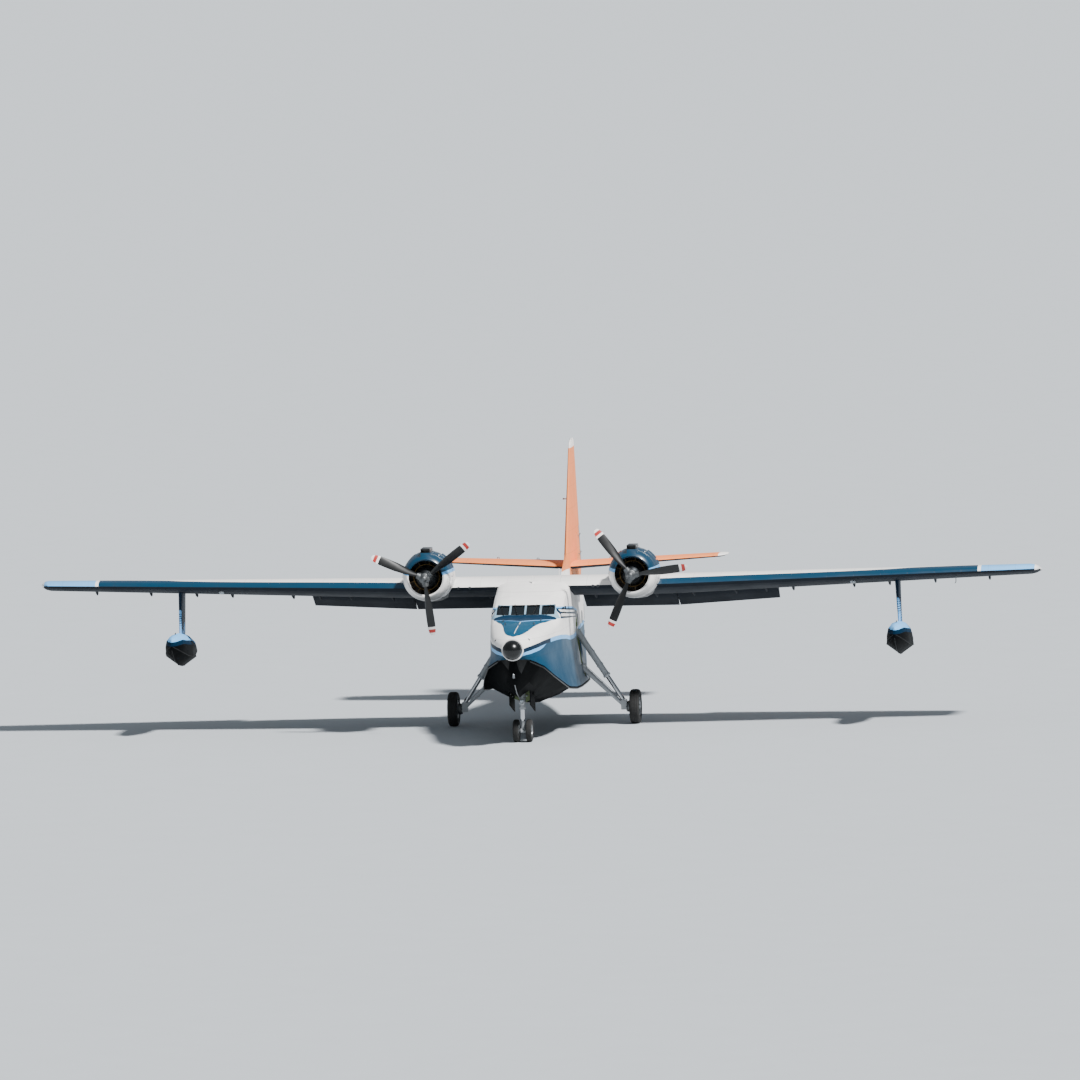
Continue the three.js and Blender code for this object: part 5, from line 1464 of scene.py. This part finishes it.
# Float details: a rail round the chine, a keel strip and cleats

floatTrim = {"out": 10.605, "cleats": [6.2, 8.6],
             "chine": [(5.37, 0.03, 2.705), (5.5, 0.143, 2.63), (5.95, 0.263, 2.49), (6.6, 0.338, 2.34),
                       (7.4, 0.358, 2.25), (7.99, 0.348, 2.21)]}


def makeFloatDetails():
    x = floatTrim["out"]
    keel = [probe(["float_left"], spotAt(x, 5.40 + 2.58 * k / 21, 0.5), (0, 0, 1))[0] for k in range(22)]
    parts = [tube("floatKeelStrip", keel, 0.010)]
    for side in (1, -1):
        rail = [spotAt(x + side * half, s, z) for s, half, z in floatTrim["chine"]]
        parts.append(tube(f"floatRail{side}", rail, 0.010))
    for n, s in enumerate(floatTrim["cleats"]):
        base = probe(["float_left"], spotAt(x, s, 5.0), (0, 0, -1))[0]
        for offset in (-0.03, 0.03):
            foot = base + Vector((0, offset, -0.01))
            parts.append(rod(f"floatCleatPost{n}{offset}", foot, foot + Vector((0, 0, 0.05)), 0.010,
                             sides=8, bevel=0))
        horn, reach = base + Vector((0, 0, 0.042)), Vector((0, 0.085, 0))
        parts.append(rod(f"floatCleatHorn{n}", horn - reach, horn + reach, 0.010, sides=8, bevel=0.003))
    dressPair(joined(parts, "floatFittings"), "floatFittings", mirrorX, "float", "sealRubber", 50)


makeFloatDetails()
print("float details")


# Wheels and undercarriage details

gear = {
    "main": {"x": 2.69, "s": 8.25, "z": 0.508, "radius": 0.507, "width": 0.298, "rim": 0.255, "bolts": 10},
    "nose": {"x": 0.19, "s": 2.55, "z": 0.33, "radius": 0.329, "width": 0.169, "rim": 0.165, "bolts": 8},
    "pistonTop": (1.86, 8.25, 1.445), "pistonFoot": (2.328, 8.25, 0.720), "sleeveHead": (1.0, 8.25, 2.78),
    "noseRings": [(0.995, 0.016, 0.06), (1.26, 0.012, 0.05), (1.42, 0.012, 0.05)], "pipe": 0.008,
    "doorHinges": [2.1, 2.55, 3.0], "doorHalf": 0.280, "doorEdge": [(1.93, 1.47), (3.17, 1.17)],
    "barTop": (1.15, 8.39, 1.69), "barFoot": (2.33, 8.29, 0.56), "steering": 1.34,
}


def tyreAt(name, row, side):  # a treaded ring with bulging walls and four grooves
    r, w, rim = row["radius"], row["width"], row["rim"]
    half = [(rim, 0.34), (rim + 0.10 * (r - rim), 0.40), (rim + 0.3 * (r - rim), 0.47), (r * 0.80, 0.50),
            (r * 0.88, 0.49), (r * 0.945, 0.43), (r * 0.978, 0.35), (r * 0.990, 0.27), (r * 0.968, 0.262),
            (r * 0.968, 0.238), (r * 0.995, 0.23), (r, 0.10), (r * 0.974, 0.092), (r * 0.974, 0.068),
            (r, 0.06)]
    right = [(radius, share * w) for radius, share in half]
    left = [(radius, -share * w) for radius, share in reversed(half)]
    return turned(name, right + left + right[:1], spotAt(side * row["x"], row["s"], row["z"]), (side, 0, 0),
                  56)


def wheelTrim(name, row, side):  # rim flanges, a ring of bolts and a domed cap on the wheel's outer face
    w, rim = row["width"], row["rim"]
    centre = spotAt(side * row["x"], row["s"], row["z"])
    parts = []
    flange = [(0.93, 0.36), (0.95, 0.405), (1.02, 0.425), (1.055, 0.405), (1.05, 0.37), (0.97, 0.345),
              (0.93, 0.36)]
    cap = [(0, 0.445), (0.16, 0.44), (0.24, 0.42), (0.27, 0.38), (0.36, 0.365), (0.36, 0.34), (0, 0.34)]
    for outline, way, steps in ((flange, 1, 48), (flange, -1, 48), (cap, 1, 32)):
        profile = [(radius * rim, way * share * w) for radius, share in outline]
        parts.append(turned(f"{name}Ring{steps}{way}", profile, centre, (side, 0, 0), steps))
    face = centre + Vector((side * w * 0.155, 0, rim * 0.60))
    inner, outer = face - Vector((side * 0.012, 0, 0)), face + Vector((side * 0.020, 0, 0))
    bolt = rod(name + "Bolt", inner, outer, rim * 0.05, sides=6)
    web = block(name + "Web", face + Vector((-0.012, -rim * 0.025, -rim * 0.17)),
                face + Vector((0.010, rim * 0.025, rim * 0.23)), 0.004, 1)
    for model, offset in ((bolt, 0), (web, 0.5)):
        for n in range(row["bolts"]):
            turn = turnAbout(centre, (1, 0, 0), 360 * (n + offset) / row["bolts"])
            parts.append(copyOf(model, f"{model.name}{n}", turn))
        bpy.data.objects.remove(model)
    return joined(parts, name)


def makeWheels():
    for hand, side in sides.items():
        for kind, hubNode in (("main", f"main_hub_{hand}"), ("nose", "nose_wheel_axle")):
            row = gear[kind]
            tyre = tyreAt(f"{kind}Tyre_{hand}", row, side)
            dress(tyre, f"{kind}_tyre_{hand}", "tyreRubber", 30)
            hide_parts(f"{kind}_tyre_{hand}")
            dress(wheelTrim(f"{kind}WheelTrim_{hand}", row, side), hubNode, "alloy", 30)


def clamp(name, point, along, radius, thick=0.008, wide=0.03):
    half = wide / 2
    profile = [(radius, -half), (radius + thick, -half), (radius + thick, half), (radius, half),
               (radius, -half)]
    return turned(name, profile, point, along, 20)


def makeMainLegs():
    row = gear["main"]
    top, foot, head = (spotAt(*gear[key]) for key in ("pistonTop", "pistonFoot", "sleeveHead"))
    down = (foot - top).normalized()
    hub = spotAt(row["x"], row["s"], row["z"])
    piston = rod("mainPiston", top - down * 0.02, foot, 0.0665, sides=32, bevel=0)
    gland = turned("mainGland", [(0.066, -0.035), (0.108, -0.03), (0.113, -0.015), (0.113, 0.03),
                                 (0.104, 0.045), (0.082, 0.05), (0.066, 0.05), (0.066, -0.035)], top, down,
                                 32)
    collars = [clamp(f"mainCollar{n}", head.lerp(top, share), down, 0.094, 0.012, 0.05) for n, share in
               enumerate((0.22, 0.5, 0.78))]
    plate = turned("brakeHousing", [(0.06, -0.235), (0.15, -0.235), (0.165, -0.22), (0.172, -0.17),
                                    (0.172, -0.145), (0.12, -0.135), (0.06, -0.135), (0.06, -0.235)],
                   hub, (1, 0, 0), 40)
    cup = rod("brakeCup", hub + Vector((-0.262, 0, 0.128)), hub + Vector((-0.222, 0, 0.128)), 0.026,
              bevel=0.004)
    cups = [copyOf(cup, f"brakeCup{n}", turnAbout(hub, (1, 0, 0), 45 * n)) for n in range(1, 8)]
    disc = turned("brakeDisc", [(0.11, -0.128), (0.195, -0.128), (0.198, -0.122), (0.198, -0.104),
                                (0.195, -0.098), (0.11, -0.098), (0.11, -0.128)], hub, (1, 0, 0), 48)
    barTop, barFoot = spotAt(*gear["barTop"]), spotAt(*gear["barFoot"])
    slope = (barFoot - barTop).normalized()
    lift = Vector((0.052, 0.036, 0.050))
    route = [barTop.lerp(barFoot, share) + lift for share in (0.03, 0.25, 0.5, 0.75, 0.93)]
    route += [hub + Vector((-0.30, 0.10, 0.235)), hub + Vector((-0.245, 0.085, 0.165))]
    pipe = tube("brakePipe", route, gear["pipe"], cuts=4)
    clips = [clamp(f"pipeClip{n}", barTop.lerp(barFoot, share), slope, 0.0615, 0.004, 0.02) for n, share in
             enumerate((0.2, 0.45, 0.7))]
    lugs = [block(f"armLug{n}", spotAt(1.155, s - 0.03, 1.60), spotAt(1.245, s + 0.03, 1.78), 0.012)
            for n, s in enumerate((8.11, 8.39))]
    groups = {
        "mainPiston": ([piston], "chrome", "gear_leg", 30),
        "mainLegFittings": ([gland] + collars, "gearEnamel", "gear_leg", 35),
        "brakeHousing": ([plate, cup] + cups, "cast", "gear_arm", 35),
        "brakeDisc": ([disc], "steel", "main_hub", 35),
        "brakePipe": ([pipe] + clips, "steel", "gear_arm", 40),
        "armLugs": (lugs, "gearEnamel", "gear_arm", 35),
    }
    for name, (parts, look, node, angle) in groups.items():
        dressPair(joined(parts, name), name, mirrorX, node, look, angle)


def makeNoseLeg():
    s = gear["nose"]["s"]
    parts = [block("noseStrutLug", spotAt(-0.035, s + 0.06, 1.09), spotAt(0.035, s + 0.13, 1.22), 0.01)]
    for n, (z, thick, wide) in enumerate(gear["noseRings"]):
        parts.append(clamp(f"noseRing{n}", spotAt(0, s, z), (0, 0, 1), 0.084, thick, wide))
    for side in (1, -1):
        jack = [spotAt(side * 0.125, s + back, gear["steering"]) for back in (-0.02, 0.20)]
        pin = [spotAt(side * out, s, gear["steering"]) for out in (0.06, 0.14)]
        parts.append(rod(f"steeringJack{side}", *jack, 0.028, bevel=0.004))
        parts.append(rod(f"steeringPin{side}", *pin, 0.018, sides=12))
    dress(joined(parts, "noseLegFittings"), "nose_gear_leg", "gearEnamel")
    piston = rod("nosePiston", spotAt(0, s, 0.945), spotAt(0, s, 0.615), 0.0625, sides=32, bevel=0)
    dress(piston, "nose_gear_fork", "chrome", 30)
    route = [(0.10, 0.06, 1.85), (0.10, 0.06, 1.5), (0.095, 0.07, 1.2), (0.06, 0.085, 1.05)]
    pipes = [tube(f"noseLegPipe{side}", [spotAt(side * x, s + back, z) for x, back, z in route],
                  gear["pipe"], cuts=4)
             for side in (1, -1)]
    dress(joined(pipes, "noseLegPipes"), "nose_gear_leg", "steel", 40)
    lamp = spotAt(0, s - 0.135, 1.17)
    shell = [(0, 0.055), (0.03, 0.052), (0.058, 0.03), (0.068, 0.0), (0.072, -0.03), (0.064, -0.032),
             (0.056, 0.0), (0.0, 0.03)]
    holder = block("taxiLampFoot", spotAt(-0.02, s - 0.10, 1.15), spotAt(0.02, s - 0.075, 1.19), 0.004, 1)
    body = joined([turned("taxiLamp", shell, lamp, (0, 1, 0), 28), holder], "taxiLamp")
    dress(body, "nose_gear_leg", "chrome", 35)
    lens = turned("taxiLampGlass", [(0, -0.036), (0.04, -0.032), (0.062, -0.022), (0.062, -0.014),
                                    (0, -0.014)],
                  lamp, (0, 1, 0), 28)
    dress(lens, "nose_gear_leg", "lampGlass", 35)
    hinges = []
    for side in (1, -1):
        for n, at in enumerate(gear["doorHinges"]):
            x, z = side * gear["doorHalf"], between(gear["doorEdge"], at)
            hinges.append(rod(f"noseDoorHinge{side}{n}", spotAt(x, at - 0.06, z), spotAt(x, at + 0.06, z),
                              0.011, sides=12))
    dress(joined(hinges, "noseDoorHinges"), "nose_gear_door_left", "steel", 40)


makeWheels()
makeMainLegs()
makeNoseLeg()
print("undercarriage")


# Seats, panel and controls

seat = {"x": 0.5, "bottom": ((0.20, 4.36, 2.795), (0.20, 4.74, 2.858)),
        "back": ((0.185, 4.785, 2.90), (0.185, 4.835, 3.38)),
        "voxel": 0.006, "quickVoxel": 0.024, "cap": 0.024, "pressure": 4.0, "frames": 20,
        "channels": [-0.068, 0.068], "strapOut": 0.10, "strapHalf": 0.0225,
        "strap": [(3.40, 4.775), (3.2, 4.757), (3.05, 4.745), (2.93, 4.735), (2.895, 4.66), (2.888, 4.60)],
        # corners and ends as distance out from the seat's middle, station and height
        "blocks": {"panSide": ((0.210, 4.35, 2.765), (0.234, 4.79, 2.845), 0.008, 2),
                   "floorRail": ((0.133, 4.36, 2.3505), (0.177, 4.78, 2.372), 0.004, 1)},
        "rods": {"backPost": ((0.215, 4.80, 2.77), (0.205, 4.865, 3.44), 0.014, 16, 0.003),
                 "frontLeg": ((0.155, 4.40, 2.36), (0.155, 4.40, 2.76), 0.016, 16, 0.002),
                 "rearLeg": ((0.155, 4.74, 2.36), (0.155, 4.74, 2.76), 0.016, 16, 0.002),
                 "brace": ((0.155, 4.40, 2.42), (0.155, 4.74, 2.72), 0.009, 12, 0)}}


def padBlock(name, low, high, axis):  # a barrelled block, thinner along axis, as the start of a cushion
    low, high = Vector(low), Vector(high)
    piece = addShape("cube", name, size=1, location=(low + high) / 2)
    piece.scale = high - low
    applyPlace(piece)
    bevelEdges(piece, 0.022, 3, 40)
    middle, half = (low + high) / 2, (high - low) / 2
    across = [n for n in range(3) if n != axis]
    for vertex in piece.data.vertices:
        part = [(vertex.co[n] - middle[n]) / half[n] for n in across]
        for n, own, other in ((across[0], 0, 1), (across[1], 1, 0)):  # the sides pull in between the corners
            vertex.co[n] -= 0.012 * part[own] * (1 - part[other] ** 2)
    return piece


def puff(piece):  # blows the cushion up as cloth
    modify(piece, "REMESH", mode="VOXEL", voxel_size=seat["voxel"])
    scene = bpy.context.scene
    before = [vertex.co.copy() for vertex in piece.data.vertices]
    cloth = piece.modifiers.new("Cloth", "CLOTH")
    cloth.settings.use_pressure = True
    cloth.settings.uniform_pressure_force = seat["pressure"]
    cloth.settings.effector_weights.gravity = 0.0
    for step in range(1, seat["frames"] + 1):
        scene.frame_set(step)
    bpy.ops.object.modifier_apply(modifier="Cloth")
    scene.frame_set(1)
    for vertex, start in zip(piece.data.vertices, before):
        move = vertex.co - start
        if move.length > seat["cap"]:
            vertex.co = start + move * (seat["cap"] / move.length)
    return piece


def sewChannels(piece, middle, axis, upward):  # sewn lines pressed into the pad, with its foot kept flat
    for vertex in piece.data.vertices:
        away = (vertex.co[axis] - middle[axis]) * upward
        if away > 0:
            for channel in seat["channels"]:
                press = 0.012 * math.exp(-((vertex.co.x - middle[0] - channel) / 0.009) ** 2)
                vertex.co[axis] -= upward * press
    modify(piece, "SUBSURF", levels=1, render_levels=1)


def pipingRound(name, low, high, axis, at):  # a sewn welt round a cushion's edge
    low, high = Vector(low), Vector(high)
    across = [n for n in range(3) if n != axis]
    points = []
    for k in range(40):
        angle = 2 * math.pi * k / 40
        point = Vector((0, 0, 0))
        for n, wave in zip(across, (math.cos(angle), math.sin(angle))):
            bulge = abs(wave) ** 0.35 * (1 if wave > 0 else -1)
            point[n] = (low[n] + high[n]) / 2 + bulge * ((high[n] - low[n]) / 2 + 0.004)
        point[axis] = at
        points.append(point)
    return tube(name, points, 0.005, closed=True)


def seatSpot(side, out, s, z):
    return spotAt(seat["x"] + side * out, s, z)


def makeSeats():
    x = seat["x"]
    boxes = {}
    for name in ("bottom", "back"):
        (wide, lowS, lowZ), (_, highS, highZ) = seat[name]
        boxes[name] = (spotAt(x - wide, lowS, lowZ), spotAt(x + wide, highS, highZ))
    low, high = boxes["bottom"]
    bottom = puff(padBlock("seatCushion", low, high, 2))
    sewChannels(bottom, (low + high) / 2, 2, 1)
    piping = [pipingRound("cushionPiping", low, high, 2, high.z - 0.008)]
    low, high = boxes["back"]
    back = puff(padBlock("backCushion", low, high, 1))
    sewChannels(back, (low + high) / 2, 1, -1)
    piping.append(pipingRound("backPiping", low, high, 1, low.y + 0.008))

    shell = [block("seatPan", spotAt(x - 0.235, 4.335, 2.762), spotAt(x + 0.235, 4.79, 2.79), 0.010),
             block("backShell", spotAt(x - 0.205, 4.842, 2.88), spotAt(x + 0.205, 4.862, 3.42), 0.008),
             rod("headRail", spotAt(x - 0.20, 4.862, 3.44), spotAt(x + 0.20, 4.862, 3.44), 0.014,
                 bevel=0.003)]
    arms, straps = [], []
    for side in (1, -1):
        for name, (a, b, bevel, segments) in seat["blocks"].items():
            shell.append(block(f"{name}{side}", seatSpot(side, *a), seatSpot(side, *b), bevel, segments))
        for name, (a, b, radius, facets, bevel) in seat["rods"].items():
            shell.append(rod(f"{name}{side}", seatSpot(side, *a), seatSpot(side, *b), radius, None, facets,
                             bevel))
        middle = x + side * 0.205
        low, high = spotAt(middle - 0.02, 4.50, 2.995), spotAt(middle + 0.02, 4.80, 3.025)
        arms.append(block(f"armRest{side}", low, high, 0.012, 3))
        middle, half = x + side * seat["strapOut"], seat["strapHalf"]
        points = [spotAt(middle + edge, s, z) for z, s in seat["strap"] for edge in (-half, half)]
        faces = [(n, n + 1, n + 3, n + 2) for n in range(0, len(points) - 2, 2)]
        strap = fromPoints(f"shoulderStrap{side}", points, faces=faces)
        modify(strap, "SOLIDIFY", thickness=0.003, offset=0.0)
        straps += [strap, block(f"strapBuckle{side}", spotAt(middle - 0.028, 4.585, 2.884),
                                spotAt(middle + 0.028, 4.625, 2.896), 0.003, 1)]
    groups = {"seatCushion": ([bottom], "seatCloth", "seat_fabric"),
              "backCushion": ([back], "seatCloth", "seat_fabric"),
              "seatPiping": (piping, "sealRubber", "seat_fabric"),
              "seatFrame": (shell, "gearEnamel", "gear_metal"), "armRests": (arms, "sealRubber", "panel"),
              "seatStraps": (straps, "strapWeb", "seat_fabric")}
    for name, (parts, look, slot) in groups.items():
        halves = dressPair(joined(parts, name), name, shift(-2 * x), "seat", look, 50)
        for hand, own in zip(sides, halves):
            if name == "seatFrame":
                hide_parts("seat_" + hand)


dials = {"face": 3.664, "radius": 0.042, "pilotMiddle": 0.48, "engineRadius": 0.034,
         "pilot": [(x, z) for z in (3.235, 3.135, 3.03) for x in (-0.12, 0.0, 0.12)],
         "engine": [(x, z) for z in (3.25, 3.16, 3.07) for x in (-0.135, -0.045, 0.045, 0.135)]}


def dialAt(name, centre, radius):  # a bezel with its face, eight ticks and a needle, all facing the seats
    rim = [(0.86, 0.004), (0.90, 0.012), (1.0, 0.012), (1.08, 0.004), (1.08, -0.004), (0.86, -0.004),
           (0.86, 0.004)]
    bezel = turned(name + "Bezel", [(radius * share, lift) for share, lift in rim], centre, (0, 1, 0), 24)
    marks = []
    for n in range(8):
        tip = spoke(45 * n)
        side = Vector((-tip.z, 0, tip.x)) * radius * 0.03
        inner, outer = (centre + tip * radius * share + Vector((0, 0.003, 0)) for share in (0.62, 0.82))
        marks.append(fromPoints(f"{name}Tick{n}", [inner - side, inner + side, outer + side, outer - side],
                                faces=[(0, 1, 2, 3)]))
    tip = Vector((-0.5, 0, 0.75)).normalized()
    side = Vector((-tip.z, 0, tip.x)) * radius * 0.05
    start = centre + Vector((0, 0.004, 0))
    back = start - tip * radius * 0.2
    marks.append(fromPoints(name + "Needle", [back - side, back + side, start + tip * radius * 0.7],
                            faces=[(0, 1, 2)]))
    marks = joined(marks, name + "Marks")
    modify(marks, "SOLIDIFY", thickness=0.0012, offset=0.0)
    face = turned(name + "Face", [(0, 0.002), (radius * 0.87, 0.002), (radius * 0.87, -0.003), (0, -0.003)],
                  centre, (0, 1, 0), 24)
    return bezel, marks, face


def makePanel():
    origin = spotAt(0, dials["face"], 3.2)
    places = [(side * dials["pilotMiddle"] + x, z, 1.0) for side in (1, -1) for x, z in dials["pilot"]]
    places += [(x, z, dials["engineRadius"] / dials["radius"]) for x, z in dials["engine"]]
    kinds = {"bezels": [], "marks": [], "faces": []}
    models = {size: dialAt(f"dial{n}", origin, dials["radius"] * size) for n, size in
              enumerate(sorted({size for x, z, size in places}))}
    for n, (x, z, size) in enumerate(places):
        for kind, model in zip(kinds, models[size]):
            kinds[kind].append(copyOf(model, f"{kind}{n}", shift(x, 0, z - origin.z)))
    for model in models.values():
        for piece in model:
            bpy.data.objects.remove(piece)
    dress(joined(kinds["bezels"], "dialBezels"), "instrument_panel", "black", 35)
    dress(joined(kinds["faces"], "dialFaces"), "instrument_panel", "sealRubber", 35)
    dress(joined(kinds["marks"], "dialMarks"), "instrument_panel", "white", 0)

    radios = []
    for n in range(3):
        low = spotAt(-0.16, 3.655, 2.955 + 0.028 * n)
        radios.append(block(f"radio{n}", low, low + Vector((0.32, 0.022, 0.022)), 0.003, 1))
    knobs = []
    for n in range(3):
        for x in (-0.13, -0.06, 0.06, 0.13):
            base = spotAt(x, 3.677, 2.966 + 0.028 * n)
            knobs.append(rod(f"knob{n}{x}", base, base + Vector((0, 0.014, 0)), 0.007, 0.006, 12, 0.001))
    for side in (1, -1):
        for n in range(6):
            base = spotAt(side * 0.48 + (n - 2.5) * 0.05, 3.66, 2.94)
            knobs.append(rod(f"switch{side}{n}", base, base + Vector((0, 0.022, 0.008)), 0.004, 0.003, 8,
                             0.001))
    dress(joined(radios, "radioTrays"), "instrument_panel", "slate", 35)
    dress(joined(knobs, "panelKnobs"), "instrument_panel", "steel", 40)
    roll = [spotAt(x, 3.765 + 0.012 * (x / 0.85) ** 2, 3.332) for x in [-0.84 + 0.12 * k for k in range(15)]]
    dress(tube("glareShieldRoll", roll, 0.016), "instrument_panel", "sealRubber", 50)

    levers, grips = [], []
    for n in range(6):
        foot = spotAt(-0.125 + 0.05 * n, 3.78, 2.95)
        head = foot + Vector((0, 0.03, 0.13 - 0.02 * (n // 2)))
        levers.append(rod(f"lever{n}", foot, head, 0.006, 0.005, 8, 0))
        knob = [(0, -0.018), (0.012, -0.015), (0.017, -0.004), (0.016, 0.008), (0.009, 0.016), (0, 0.017)]
        grips.append(turned(f"leverGrip{n}", knob, head, (1, 0, 0) if n < 2 else (0, 0, 1), 16))
    low, high = spotAt(-0.131, 3.66, 2.956), spotAt(-0.119, 3.90, 2.964)
    slots = [block(f"leverSlot{n}", low + shift(0.05 * n).translation, high + shift(0.05 * n).translation,
                   0.002, 1) for n in range(6)]
    dress(joined(levers, "engineLevers"), "instrument_panel", "steel", 40)
    dress(joined(grips, "leverGrips"), "instrument_panel", "red", 40)
    dress(joined(slots, "leverSlots"), "instrument_panel", "sealRubber", 35)


makeSeats()
makePanel()
print("cockpit")

# Frame solids whose shape is right keep it, and get their finish here
bareNodes = {
    "gearEnamel": pairOf("gear_arm") + pairOf("gear_leg") + ["nose_gear_leg", "nose_gear_fork"],
    "alloy": pairOf("main_hub") + ["nose_wheel_axle"],
    "slate": ["instrument_panel", "control_columns"],
    "glazing": ["cockpit_glass"],
}
for look, nodes in bareNodes.items():
    for node in nodes:
        finish = frame["nodes"][node].data.materials
        finish.clear()
        finish.append(looks[look])
